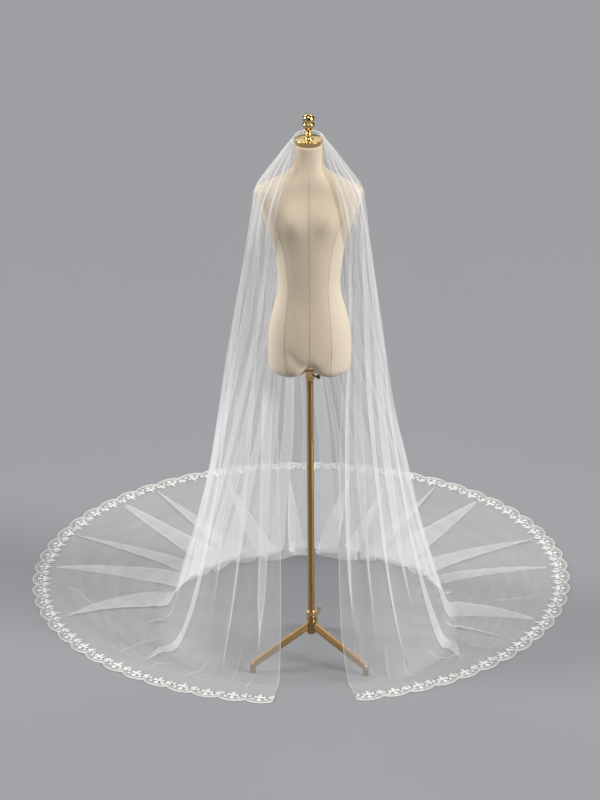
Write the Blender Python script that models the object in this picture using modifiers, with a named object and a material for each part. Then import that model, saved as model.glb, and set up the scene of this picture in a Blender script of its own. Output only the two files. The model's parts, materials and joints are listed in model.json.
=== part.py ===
"""Bridal veil of tulle with a scalloped lace hem, draped over a limbless dress form on a tripod stand.

Metres, +Z up, floor at z = 0. The origin is on the floor at the middle of the round hem, and the
veil opens towards -Y. The stand's pole rises at (POLE_X, POLE_Y), and the tables of the form and
the veil give distances from the pole's axis.
"""

import math

import bpy
import numpy as np

# Places in the frame
POLE_X, POLE_Y = 0.033, -0.612
HEM_Y = -0.0057
SEAM_GAP = 0.0003
BEND_GAP = 0.0012

# Tulle and lace
CLOTH_T = 0.0015
FORM_CLEARANCE = 0.0045
HEM_RADIUS = 0.935
LACE_DEPTH = 0.075
LACE_T = 0.002
SCALLOPS = 59
SCALLOP_RISE = 0.017
POINTS_PER_SCALLOP = 4
LACE_SEAMS = (0, 20, 39, SCALLOPS)
CUT_LEFT, CUT_RIGHT = 0.30, 0.70
SHOULDER_Z = 1.60
TRAIN_T = 0.0018
HEADING_R = 0.003
FRONT_TOP_Z, TOP_RISE, TOP_POWER = 1.866, 0.027, 0.8
RISE_STARTS_Z = 1.76
SECTION_POWER = 2.3
TENT_MIDDLE_Y = 0.30

# Dress form
FORM_COLUMNS = 32
FORM_POWER = 2.15
NECK_TOP_Z = 1.861
BUST_X, BUST_Z, BUST_RISE = 0.058, 1.622, 0.013
BUST_HALF_WIDTH, BUST_HALF_HEIGHT = 0.040, 0.050
THIGH_NOTCH, THIGH_NOTCH_WIDTH = 0.025, 0.030

# Stand
CAP_R, CAP_T = 0.0442, 0.016
POLE_R = 0.0114
COLLAR_R = 0.0155
COLLAR_TOP_Z, COLLAR_BOTTOM_Z = 1.0680, 1.034
BUTTON_Z, BUTTON_R, BUTTON_REACH = 0.815, 0.0036, 0.0030
HUB_R, HUB_TOP_Z, HUB_BOTTOM_Z = 0.0148, 0.166, 0.100
RING_R, RING_HALF = 0.0165, 0.009
LEG_REACH, LEG_WIDTH = 0.226, 0.016
LEG_TOP_Z, KNEE_TOP_Z, KNEE_UNDER_Z = 0.1395, 0.0400, 0.0235
ROOT_DEPTH, FOOT_LENGTH = 0.0246, 0.0158
LEG_ANGLES = (86.0, 206.0, 326.0)
LEVER_X, LEVER_Z, PIVOT_R, LEVER_THICKNESS = 0.0255, 0.1755, 0.0034, 0.006
FORK_T, FORK_WIDTH, FORK_DROP, FORK_RISE = 0.0045, 0.008, 0.034, 0.004
SCREW_ANGLE, SCREW_Z = -25.0, 1.047
SCREW_R, GRIP_R, GRIP_START, SCREW_LENGTH = 0.0032, 0.0075, 0.0110, 0.0190
TOUCH_GAP = 0.0008

# The draped tulle at each level: half-widths to the left and right, the widest point's y, the
# front edges' y, the back's y, and the front edges' distances from the middle.
DRAPE = (
    # z, left, right, side_y, edge_y, back_y, edge_left, edge_right
    (1.8850, 0.052, 0.052, 0.000, -0.018, 0.052, 0.046, 0.048),
    (1.8600, 0.071, 0.071, 0.000, -0.026, 0.060, 0.051, 0.053),
    (1.8000, 0.114, 0.114, 0.000, -0.042, 0.078, 0.066, 0.064),
    (1.7600, 0.143, 0.142, 0.000, -0.054, 0.092, 0.077, 0.078),
    (1.7230, 0.172, 0.171, 0.003, -0.068, 0.103, 0.088, 0.090),
    (1.7040, 0.184, 0.182, 0.005, -0.073, 0.108, 0.093, 0.095),
    (1.6600, 0.188, 0.187, 0.010, -0.084, 0.118, 0.104, 0.106),
    (1.6000, 0.194, 0.193, 0.015, -0.080, 0.130, 0.112, 0.117),
    (1.5300, 0.202, 0.198, 0.030, -0.042, 0.150, 0.116, 0.121),
    (1.4200, 0.218, 0.208, 0.050, 0.020, 0.180, 0.112, 0.120),
    (1.2800, 0.239, 0.224, 0.080, 0.060, 0.220, 0.110, 0.118),
    (1.1000, 0.266, 0.247, 0.120, 0.082, 0.275, 0.111, 0.113),
    (0.9000, 0.292, 0.270, 0.150, 0.020, 0.345, 0.108, 0.101),
    (0.6500, 0.331, 0.320, 0.190, -0.060, 0.440, 0.104, 0.094),
    (0.4000, 0.382, 0.368, 0.230, -0.120, 0.550, 0.100, 0.092),
    (0.2000, 0.434, 0.409, 0.265, -0.158, 0.650, 0.101, 0.098),
    (0.0800, 0.464, 0.432, 0.285, -0.176, 0.715, 0.105, 0.110),
    (0.0300, 0.485, 0.449, 0.295, -0.183, 0.750, 0.107, 0.117),
    (0.0110, 0.505, 0.467, 0.300, -0.187, 0.775, 0.109, 0.121),
    (0.0045, 0.532, 0.492, 0.305, -0.190, 0.805, 0.111, 0.124),
)
CROWN_LEVELS = (1.885, 1.850, 1.800, 1.750, 1.705, 1.655, 1.600)
FALL_LEVELS = (1.600, 1.530, 1.430, 1.280, 1.100, 0.850, 0.560, 0.280, 0.100, 0.030, 0.011, 0.0045)
TRAIN_STEPS = (0.0, 0.15, 0.5, 1.0)

# Pleats: place along the cloth's edge-to-edge length, and how far each stands out at the
# shoulders, at the knees and at the floor, and the height of the doubled fold it leaves there.
KNEE_Z = 0.55
CROWN_PLEAT = 0.0012
PLEATS = (
    # place, shoulder, knee, floor, fold
    (0.026, 0.003, 0.007, 0.008, 0.0000),
    (0.070, 0.005, 0.011, 0.013, 0.0012),
    (0.112, 0.005, 0.014, 0.018, 0.0020),
    (0.152, 0.004, 0.011, 0.015, 0.0046),
    (0.198, 0.006, 0.017, 0.021, 0.0012),
    (0.238, 0.004, 0.013, 0.017, 0.0040),
    (0.286, 0.006, 0.018, 0.024, 0.0052),
    (0.336, 0.005, 0.017, 0.022, 0.0044),
    (0.390, 0.006, 0.020, 0.025, 0.0050),
    (0.446, 0.005, 0.021, 0.028, 0.0016),
    (0.504, 0.004, 0.017, 0.024, 0.0030),
    (0.560, 0.006, 0.022, 0.029, 0.0014),
    (0.614, 0.005, 0.018, 0.025, 0.0046),
    (0.664, 0.005, 0.017, 0.022, 0.0050),
    (0.714, 0.006, 0.018, 0.024, 0.0044),
    (0.760, 0.004, 0.013, 0.018, 0.0014),
    (0.808, 0.006, 0.017, 0.021, 0.0050),
    (0.852, 0.004, 0.013, 0.017, 0.0046),
    (0.898, 0.005, 0.014, 0.017, 0.0018),
    (0.938, 0.004, 0.010, 0.013, 0.0010),
    (0.976, 0.003, 0.007, 0.008, 0.0000),
)

# The form's sections: half-width, and depth in front of and behind the pole's axis.
FORM = (
    # z, half, front, back
    (1.861, 0.0462, 0.0462, 0.0462),
    (1.820, 0.0464, 0.0462, 0.0466),
    (1.798, 0.0484, 0.0482, 0.0490),
    (1.782, 0.0528, 0.0512, 0.0520),
    (1.769, 0.0612, 0.0545, 0.0550),
    (1.757, 0.0762, 0.0575, 0.0580),
    (1.744, 0.1010, 0.0600, 0.0605),
    (1.731, 0.1270, 0.0620, 0.0630),
    (1.718, 0.1530, 0.0640, 0.0660),
    (1.709, 0.1680, 0.0660, 0.0680),
    (1.699, 0.1740, 0.0685, 0.0710),
    (1.675, 0.1720, 0.0760, 0.0760),
    (1.640, 0.1600, 0.0860, 0.0830),
    (1.600, 0.1460, 0.0915, 0.0880),
    (1.560, 0.1310, 0.0920, 0.0890),
    (1.520, 0.1185, 0.0900, 0.0870),
    (1.480, 0.1105, 0.0875, 0.0830),
    (1.430, 0.1040, 0.0845, 0.0780),
    (1.380, 0.1005, 0.0815, 0.0750),
    (1.330, 0.1060, 0.0805, 0.0790),
    (1.270, 0.1220, 0.0830, 0.0900),
    (1.205, 0.1330, 0.0860, 0.1020),
    (1.140, 0.1355, 0.0850, 0.1060),
    (1.090, 0.1320, 0.0810, 0.1000),
    (1.068, 0.1240, 0.0720, 0.0880),
    (1.055, 0.1060, 0.0550, 0.0700),
)

# Turned outlines, top to bottom, as radius and height above the piece's foot.
FINIAL = (
    (0.0000, 0.0850), (0.0075, 0.0836), (0.0145, 0.0795), (0.0188, 0.0735), (0.0204, 0.0665),
    (0.0196, 0.0605), (0.0170, 0.0560), (0.0196, 0.0525), (0.0206, 0.0475), (0.0190, 0.0410),
    (0.0140, 0.0330), (0.0095, 0.0270), (0.0082, 0.0225), (0.0112, 0.0200), (0.0112, 0.0165),
    (0.0085, 0.0140), (0.0095, 0.0060), (0.0130, 0.0022), (0.0130, 0.0000), (0.0000, 0.0000),
)


def clear_scene():
    """Empties the scene of its startup objects."""
    for obj in list(bpy.data.objects):
        bpy.data.objects.remove(obj)


def new_material(name, colour, roughness, metallic):
    """A Principled material of one colour."""
    material = bpy.data.materials.new(name)
    material.use_nodes = True
    shader = material.node_tree.nodes["Principled BSDF"]
    shader.inputs["Base Color"].default_value = (*colour, 1.0)
    shader.inputs["Roughness"].default_value = roughness
    shader.inputs["Metallic"].default_value = metallic
    return material


def add_object(name, data, collection, material):
    """An object of its own for one piece, in the part's collection."""
    obj = bpy.data.objects.new(name, data)
    collection.objects.link(obj)
    data.materials.append(material)
    return obj


def add_mesh(name, vertices, faces, collection, material):
    """A smooth-shaded mesh object."""
    mesh = bpy.data.meshes.new(name)
    mesh.from_pydata([tuple(map(float, v)) for v in vertices], [], faces)
    mesh.shade_smooth()
    return add_object(name, mesh, collection, material)


def grid_faces(rows, columns, closed=False):
    """Quads between neighbouring rows of points, each row running left to right seen from outside."""
    faces = []
    for row in range(rows - 1):
        for column in range(columns if closed else columns - 1):
            after = (column + 1) % columns
            above, below = row * columns, (row + 1) * columns
            faces.append((above + column, below + column, below + after, above + after))
    return faces


def table_at(table, level):
    """The table's row at a height, eased between the rows above and below it."""
    rows = np.array(table)
    heights = rows[:, 0]
    level = min(max(level, heights[-1]), heights[0])
    below = int(np.clip(np.searchsorted(-heights, -level), 1, len(rows) - 1))
    above = below - 1
    span = heights[below] - heights[above]
    share = (level - heights[above]) / span
    ends = [max(above - 1, 0), min(below + 1, len(rows) - 1)]
    slope_above = (rows[below] - rows[ends[0]]) / (heights[below] - heights[ends[0]]) * span
    slope_below = (rows[ends[1]] - rows[above]) / (heights[ends[1]] - heights[above]) * span
    square, cube = share**2, share**3
    return (
        rows[above] * (2 * cube - 3 * square + 1)
        + slope_above * (cube - 2 * square + share)
        + rows[below] * (3 * square - 2 * cube)
        + slope_below * (cube - square)
    )


# ---------------------------------------------------------------- dress form


def form_reach(level, angle):
    """The form's distance from its axis at a height, where angle 0 faces +X and 90 degrees the back."""
    _, half, front, back = table_at(FORM, level)
    depth = back if math.sin(angle) > 0 else front
    across, along = abs(math.cos(angle)) / half, abs(math.sin(angle)) / depth
    return (across**FORM_POWER + along**FORM_POWER) ** (-1 / FORM_POWER)


def form_point(level, angle):
    """A point of the form's surface about its axis, with its bust."""
    reach = form_reach(level, angle)
    x, y = reach * math.cos(angle), reach * math.sin(angle)
    if y < 0:
        for side in (-1, 1):
            across = (x - side * BUST_X) / BUST_HALF_WIDTH
            up = (level - BUST_Z) / BUST_HALF_HEIGHT
            y -= BUST_RISE * math.exp(-(across**2) - up**2)
    return x, y


def build_form(collection, material):
    """The torso, lofted through its sections and closed at the neck and under the hips."""
    points = []
    for row, (level, *_) in enumerate(FORM):
        for column in range(FORM_COLUMNS):
            angle = 2 * math.pi * column / FORM_COLUMNS
            x, y = form_point(level, angle)
            lift = max(0, row - len(FORM) + 4) / 3
            notch = lift * THIGH_NOTCH * math.exp(-((x / THIGH_NOTCH_WIDTH) ** 2))
            points.append((POLE_X + x, POLE_Y + y, level + notch))
    faces = grid_faces(len(FORM), FORM_COLUMNS, closed=True)
    top = len(points)
    points.append((POLE_X, POLE_Y, FORM[0][0]))
    points.append((POLE_X, POLE_Y, FORM[-1][0] + THIGH_NOTCH))
    last = (len(FORM) - 1) * FORM_COLUMNS
    for column in range(FORM_COLUMNS):
        after = (column + 1) % FORM_COLUMNS
        faces.append((top, column, after))
        faces.append((top + 1, last + after, last + column))
    add_mesh("form_torso", points, faces, collection, material)


# ---------------------------------------------------------------- veil


def arc(start, end, along_x_first):
    """A quarter of a superellipse between two points, leaving the first along y or along x."""
    turn = np.linspace(0, math.pi / 2, 25)
    slow = np.cos(turn) ** (2 / SECTION_POWER)
    fast = np.sin(turn) ** (2 / SECTION_POWER)
    (x0, y0), (x1, y1) = start, end
    if along_x_first:
        return np.stack([x0 + (x1 - x0) * fast, y1 + (y0 - y1) * slow], axis=1)
    return np.stack([x1 + (x0 - x1) * slow, y0 + (y1 - y0) * fast], axis=1)


def section(level):
    """The smooth outline of the hanging cloth at a height, from the left front edge round the back."""
    _, left, right, side_y, edge_y, back_y, edge_left, edge_right = table_at(DRAPE, level)
    parts = (
        arc((-edge_left, edge_y), (-left, side_y), True),
        arc((-left, side_y), (0, back_y), False),
        arc((0, back_y), (right, side_y), True),
        arc((right, side_y), (edge_right, edge_y), False),
    )
    return np.concatenate([part[:-1] for part in parts[:-1]] + [parts[-1]])


def cloth_places():
    """Where the cloth's columns lie: at each pleat, midway between pleats, and halfway to each."""
    crests = [pleat[0] for pleat in PLEATS]
    knots = [0.0]
    for before, after in zip(crests, crests[1:]):
        knots += [before, (3 * before + after) / 4, (before + after) / 2, (before + 3 * after) / 4]
    knots += [crests[-1], 1.0]
    for cut in (CUT_LEFT, CUT_RIGHT):
        nearest = min(range(len(knots)), key=lambda i: abs(knots[i] - cut))
        knots[nearest] = cut
    return np.array(knots)


def pleat_depth(places, level):
    """How far the pleats stand out of the smooth outline at a height."""
    stops = (0.0, KNEE_Z, SHOULDER_Z, DRAPE[0][0])
    depth = np.zeros(len(places))
    crests = [pleat[0] for pleat in PLEATS]
    for i, (place, shoulder, knee, floor, _) in enumerate(PLEATS):
        before = crests[i - 1] if i else -place
        after = crests[i + 1] if i + 1 < len(PLEATS) else 2 - place
        reach = np.where(places < place, place - before, after - place)
        share = np.clip(np.abs(places - place) / reach, 0, 1)
        most = np.interp(level, stops, (floor, knee, shoulder, CROWN_PLEAT))
        bump = np.where(share < 0.5, np.cos(math.pi * share) ** 2, 0)
        depth = np.maximum(depth, most * bump)
    return depth


def top_height(places):
    """The gathered top edge rises from the front edges to the back of the neck cap."""
    return FRONT_TOP_Z + TOP_RISE * np.sin(math.pi * places) ** TOP_POWER


def cloth_row(level, places):
    """One row of the cloth's points, pleated, held clear of the form, in the part's frame."""
    outline = section(level)
    steps = np.linalg.norm(np.diff(outline, axis=0), axis=1)
    along = np.concatenate([[0], np.cumsum(steps)]) / steps.sum()
    x = np.interp(places, along, outline[:, 0])
    y = np.interp(places, along, outline[:, 1])
    tangent = np.stack([np.gradient(x), np.gradient(y)], axis=1)
    tangent /= np.linalg.norm(tangent, axis=1)[:, None]
    depth = pleat_depth(places, level)
    x -= tangent[:, 1] * depth
    y += tangent[:, 0] * depth
    fade = max(0.0, (level - RISE_STARTS_Z) / (DRAPE[0][0] - RISE_STARTS_Z))
    heights = level + (top_height(places) - DRAPE[0][0]) * fade
    for i, height in enumerate(heights):
        angle = math.atan2(y[i], x[i])
        least = form_reach(min(height, NECK_TOP_Z), angle) + FORM_CLEARANCE
        if y[i] < 0:
            bust_x, bust_y = form_point(min(height, NECK_TOP_Z), angle)
            least = max(least, math.hypot(bust_x, bust_y) + FORM_CLEARANCE)
        reach = math.hypot(x[i], y[i])
        if reach < least and height > FORM[-1][0]:
            x[i] *= least / reach
            y[i] *= least / reach
    return np.stack([POLE_X + x, POLE_Y + y, heights], axis=1)


def trimmed(rows, sides, bend_side=""):
    """The rows with their named sides moved in by half a seam gap, and by more where cloth bends."""
    rows = rows.copy()
    turned = rows.transpose(1, 0, 2)
    edges = {"top": (rows, 0, 1), "bottom": (rows, -1, -2)}
    edges |= {"left": (turned, 0, 1), "right": (turned, -1, -2)}
    for side in sides:
        lines, edge, inner = edges[side]
        step = lines[inner] - lines[edge]
        step /= np.linalg.norm(step, axis=1)[:, None]
        lines[edge] += step * (BEND_GAP if side == bend_side else SEAM_GAP) / 2
    return rows


def build_sheet(name, rows, collection, material):
    """A stretch of hanging tulle: an open grid given its thickness by Solidify."""
    count, columns, _ = rows.shape
    obj = add_mesh(name, rows.reshape(-1, 3), grid_faces(count, columns), collection, material)
    wall = obj.modifiers.new("Thickness", "SOLIDIFY")
    wall.thickness = CLOTH_T
    wall.offset = 0.0
    return obj


def build_slab(name, rows, collection, material):
    """Cloth lying on the floor: its top follows the rows, and its underside is flat at z = 0."""
    count, columns, _ = rows.shape
    top = rows.reshape(-1, 3)
    under = top * (1, 1, 0)
    size = len(top)
    facing_down = grid_faces(count, columns)
    faces = [face[::-1] for face in facing_down]
    faces += [tuple(size + i for i in face) for face in facing_down]
    rim = list(range(columns))
    rim += [row * columns + columns - 1 for row in range(1, count)]
    rim += [(count - 1) * columns + i for i in range(columns - 2, -1, -1)]
    rim += [row * columns for row in range(count - 2, 0, -1)]
    for here, after in zip(rim, rim[1:] + rim[:1]):
        faces.append((here, size + here, size + after, after))
    return add_mesh(name, np.concatenate([top, under]), faces, collection, material)


def hem_point(start, radius):
    """Where the line from the middle of the tent through a floor point meets a circle about the hem."""
    middle = np.array([POLE_X, POLE_Y + TENT_MIDDLE_Y])
    ray = np.array(start[:2]) - middle
    ray /= np.linalg.norm(ray)
    offset = middle - np.array([0.0, HEM_Y])
    inward = ray @ offset
    return middle + ray * (math.sqrt(inward**2 - offset @ offset + radius**2) - inward)


def train_rows(start_row, places):
    """The cloth on the floor, from the foot of the hanging cloth to the lace, with its doubled folds."""
    ends = np.array([hem_point(point, HEM_RADIUS - LACE_DEPTH) for point in start_row])
    crests = [pleat[0] for pleat in PLEATS]
    folds = np.interp(places, crests, [pleat[4] for pleat in PLEATS])
    on_crest = np.array([min(abs(place - crest) for crest in crests) < 1e-6 for place in places])
    rows = []
    for step in TRAIN_STEPS:
        flat = start_row[:, :2] * (1 - step) + ends * step
        rest = TRAIN_T + (start_row[0, 2] - TRAIN_T) * (1 - min(1.0, step / 0.2))
        height = rest + np.where(on_crest, folds, 0) * (1 - step) ** 0.7
        rows.append(np.column_stack([flat, height]))
    return np.array(rows)


def lace_rows(first, last, corners):
    """The lace edging between two scallops, from the tulle's edge to its scalloped rim."""
    angles = np.linspace(corners[0], corners[1], SCALLOPS * POINTS_PER_SCALLOP + 1)
    angles = angles[first * POINTS_PER_SCALLOP : last * POINTS_PER_SCALLOP + 1]
    phase = np.arange(len(angles)) % POINTS_PER_SCALLOP / POINTS_PER_SCALLOP
    rim = HEM_RADIUS - SCALLOP_RISE * (1 - np.sin(math.pi * phase) ** 0.6)
    rows = []
    for radius in (np.full(len(angles), HEM_RADIUS - LACE_DEPTH + SEAM_GAP), rim):
        x, y = radius * np.cos(angles), HEM_Y + radius * np.sin(angles)
        rows.append(np.column_stack([x, y, np.full(len(angles), LACE_T)]))
    return np.array(rows)


def build_veil(collection, tulle, lace, thread):
    """The tulle in its stretches, its gathered heading, and the lace edging."""
    places = cloth_places()
    left = int(np.argmin(abs(places - CUT_LEFT)))
    right = int(np.argmin(abs(places - CUT_RIGHT)))
    crown = np.array([cloth_row(level, places) for level in CROWN_LEVELS])
    build_sheet("tulle_crown", trimmed(crown, ("bottom",), "bottom"), collection, tulle)

    fall = np.array([cloth_row(level, places) for level in FALL_LEVELS])
    train = train_rows(fall[-1], places)
    stretches = (
        ("left", 0, left, ("right",)),
        ("back", left, right, ("left", "right")),
        ("right", right, len(places) - 1, ("left",)),
    )
    for name, start, end, seams in stretches:
        part = slice(start, end + 1)
        ends = ("top", "bottom", *seams)
        hanging = trimmed(fall[:, part], ends, "bottom")
        build_sheet(f"tulle_{name}_fall", hanging, collection, tulle)
        build_slab(f"train_{name}", trimmed(train[:, part], ends, "top"), collection, tulle)

    corners = []
    for point in (fall[-1][0], fall[-1][-1]):
        corner = hem_point(point, HEM_RADIUS)
        corners.append(math.atan2(corner[1] - HEM_Y, corner[0]))
    corners[1] -= 2 * math.pi if corners[1] > corners[0] else 0
    for name, first, last in zip(("left", "back", "right"), LACE_SEAMS, LACE_SEAMS[1:]):
        seams = tuple(side for side, end in (("left", first), ("right", SCALLOPS - last)) if end)
        rows = trimmed(lace_rows(first, last, corners), seams)
        build_slab(f"lace_{name}", rows, collection, lace)

    heading = crown[0] + (0, 0, HEADING_R + CLOTH_T + SEAM_GAP)
    build_tube("gathered_heading", heading[::2], HEADING_R, 2, collection, thread)


# ---------------------------------------------------------------- stand


def build_tube(name, points, radius, resolution, collection, material):
    """A round bar or roll along a line of points, with closed ends."""
    curve = bpy.data.curves.new(name, "CURVE")
    curve.dimensions = "3D"
    curve.bevel_depth = radius
    curve.bevel_resolution = resolution
    curve.use_fill_caps = True
    spline = curve.splines.new("POLY")
    spline.points.add(len(points) - 1)
    for target, point in zip(spline.points, points):
        target.co = (*map(float, point), 1.0)
    return add_object(name, curve, collection, material)


def build_turned(
    name, profile, location, steps, collection, material, rotation=(0, 0, 0), closed=False
):
    """A turned piece: its profile, top to bottom, swept round its own axis."""
    mesh = bpy.data.meshes.new(name)
    links = [(i, i + 1) for i in range(len(profile) - 1)]
    if closed:
        links.append((len(profile) - 1, 0))
    mesh.from_pydata([(radius, 0.0, height) for radius, height in profile], links, [])
    obj = add_object(name, mesh, collection, material)
    sweep = obj.modifiers.new("Turn", "SCREW")
    sweep.steps = steps
    sweep.render_steps = steps
    sweep.use_merge_vertices = True
    sweep.merge_threshold = 0.0001
    obj.location = location
    obj.rotation_euler = rotation
    return obj


def build_outline(name, outline, width, location, rotation, collection, material):
    """A flat outline in its own xy plane, given its width on both sides of that plane."""
    curve = bpy.data.curves.new(name, "CURVE")
    curve.dimensions = "2D"
    curve.fill_mode = "BOTH"
    curve.extrude = width / 2
    spline = curve.splines.new("POLY")
    spline.points.add(len(outline) - 1)
    for target, (across, up) in zip(spline.points, outline):
        target.co = (across, up, 0.0, 1.0)
    spline.use_cyclic_u = True
    obj = add_object(name, curve, collection, material)
    obj.location = location
    obj.rotation_euler = rotation
    return obj


def rod_profile(radius, bottom, top, edge=0.0008):
    """The profile of a plain round bar with eased edges."""
    return (
        (0.0, top),
        (radius - edge, top),
        (radius, top - edge),
        (radius, bottom + edge),
        (radius - edge, bottom),
        (0.0, bottom),
    )


def bent(start, corner, end, radius, steps=5):
    """Points of a round bend that replaces a sharp corner."""
    start, corner, end = (np.array(point) for point in (start, corner, end))
    before = (start - corner) / np.linalg.norm(start - corner)
    after = (end - corner) / np.linalg.norm(end - corner)
    half = math.acos(float(np.clip(before @ after, -1, 1))) / 2
    reach = radius / math.tan(half)
    points = []
    for share in np.linspace(0, 1, steps):
        a = corner + before * reach * (1 - share)
        b = corner + after * reach * share
        points.append(tuple(a * (1 - share) + b * share))
    return points


def leg_outline():
    """A leg's side: a sloping bar that bends down to a flat foot."""
    root = HUB_R + 0.0006
    heel = LEG_REACH - FOOT_LENGTH
    top_start, bottom_start = (root, LEG_TOP_Z), (root, LEG_TOP_Z - ROOT_DEPTH)
    knee_out, foot_out = (LEG_REACH, KNEE_TOP_Z), (LEG_REACH, 0.0)
    foot_in, knee_in = (heel, 0.0), (heel, KNEE_UNDER_Z)
    outline = [top_start]
    outline += bent(top_start, knee_out, foot_out, 0.014)
    outline += [foot_out, foot_in]
    outline += bent(foot_in, knee_in, bottom_start, 0.006, 4)
    outline += [bottom_start]
    return outline[::-1]


def build_stand(collection, gold, dark):
    """The neck cap and finial, the pole with its fittings, and the tripod."""
    cap_z = NECK_TOP_Z + SEAM_GAP
    cap = rod_profile(CAP_R, 0.0, CAP_T, 0.0012)
    build_turned("neck_cap", cap, (POLE_X, POLE_Y, cap_z), 40, collection, gold)
    finial_z = cap_z + CAP_T + SEAM_GAP
    build_turned("finial", FINIAL, (POLE_X, POLE_Y, finial_z), 24, collection, gold)

    collar = rod_profile(COLLAR_R, COLLAR_BOTTOM_Z, COLLAR_TOP_Z, 0.002)
    build_turned("form_collar", collar, (POLE_X, POLE_Y, 0), 24, collection, gold)
    pole = rod_profile(POLE_R, HUB_TOP_Z + SEAM_GAP, COLLAR_BOTTOM_Z - SEAM_GAP)
    build_turned("pole", pole, (POLE_X, POLE_Y, 0), 24, collection, gold)
    button = [(0.0, BUTTON_REACH), (0.55 * BUTTON_R, 0.87 * BUTTON_REACH)]
    button += [(0.94 * BUTTON_R, 0.40 * BUTTON_REACH), (BUTTON_R, 0.0), (0.0, 0.0)]
    place = (POLE_X + POLE_R + SEAM_GAP, POLE_Y, BUTTON_Z)
    build_turned("height_button", button, place, 12, collection, gold, (0, math.pi / 2, 0))

    ring = []
    inner = POLE_R + SEAM_GAP
    for step in range(7):
        turn = math.pi * step / 6
        across = inner + (RING_R - inner) * math.sin(turn) ** 0.5
        ring.append((across, RING_HALF * (1 + math.cos(turn))))
    ring_place = (POLE_X, POLE_Y, HUB_TOP_Z + SEAM_GAP)
    build_turned("clamp_ring", ring, ring_place, 24, collection, gold, closed=True)
    hub = rod_profile(HUB_R, HUB_BOTTOM_Z, HUB_TOP_Z, 0.0015)
    build_turned("tripod_hub", hub, (POLE_X, POLE_Y, 0), 24, collection, gold)
    for number, degrees in enumerate(LEG_ANGLES, 1):
        turn = (math.pi / 2, 0, math.radians(degrees))
        place = (POLE_X, POLE_Y, 0)
        build_outline(f"leg_{number}", leg_outline(), LEG_WIDTH, place, turn, collection, gold)
    build_lever(collection, gold)
    build_thumb_screw(collection, dark)


def build_lever(collection, gold):
    """The clamp's lever, which turns on a pivot beside the ring, and the fork that carries it."""
    fork_x = POLE_X + RING_R + SEAM_GAP
    fork = [(0.0, -FORK_DROP), (FORK_T, -FORK_DROP), (FORK_T, FORK_RISE), (0.0, FORK_RISE)]
    place = (fork_x, POLE_Y, LEVER_Z)
    upright = (math.pi / 2, 0, 0)
    build_outline("lever_fork", fork, FORK_WIDTH, place, upright, collection, gold)
    arm = []
    for degrees in range(180, 361, 30):
        turn = math.radians(degrees)
        arm.append((PIVOT_R * math.cos(turn), PIVOT_R * math.sin(turn)))
    arm += [(0.0040, 0.0040), (0.0064, 0.0105), (0.0098, 0.0190), (0.0094, 0.0212)]
    arm += [(-0.0026, 0.0238), (-0.0036, 0.0228), (-0.0054, 0.0140), (-0.0050, 0.0090), (-0.0034, 0.0040)]
    place = (POLE_X + LEVER_X, POLE_Y, LEVER_Z)
    build_outline("clamp_lever", arm, LEVER_THICKNESS, place, upright, collection, gold)


def build_thumb_screw(collection, dark):
    """The screw that holds the form on the pole: a stem with a round grip, at the collar's side."""
    edge = 0.0012
    profile = [(0.0, SCREW_LENGTH), (GRIP_R - edge, SCREW_LENGTH), (GRIP_R, SCREW_LENGTH - edge)]
    profile += [(GRIP_R, GRIP_START + edge), (GRIP_R - edge, GRIP_START)]
    profile += [(SCREW_R, GRIP_START), (SCREW_R, 0.0), (0.0, 0.0)]
    turn = math.radians(SCREW_ANGLE)
    reach = COLLAR_R + TOUCH_GAP
    place = (POLE_X + reach * math.cos(turn), POLE_Y + reach * math.sin(turn), SCREW_Z)
    angles = (0, math.pi / 2, turn)
    build_turned("thumb_screw", profile, place, 16, collection, dark, angles)


def main():
    clear_scene()
    part = bpy.data.collections.new("bridal_veil_on_form")
    bpy.context.scene.collection.children.link(part)
    gold = (0.72, 0.50, 0.22)
    build_form(part, new_material("form_linen", (0.78, 0.71, 0.58), 0.8, 0.0))
    build_stand(
        part,
        new_material("polished_gold", gold, 0.25, 1.0),
        new_material("dark_brass", (0.20, 0.15, 0.08), 0.4, 1.0),
    )
    build_veil(
        part,
        new_material("tulle", (0.93, 0.93, 0.91), 0.7, 0.0),
        new_material("lace", (0.95, 0.94, 0.89), 0.75, 0.0),
        new_material("gathered_tulle", (0.94, 0.94, 0.92), 0.7, 0.0),
    )


main()
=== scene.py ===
"""The looks of a bridal veil of tulle and lace, draped over a limbless dress form on a gold stand.

Metres, +Z up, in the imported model's frame: the floor is z = 0, the origin lies at the middle of the
veil's round hem, and the veil opens towards -Y. Tables of the veil and the form give distances from
the pole's axis.
"""

import json
import math

import bpy
import numpy as np
from mathutils import Matrix, Vector

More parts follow.
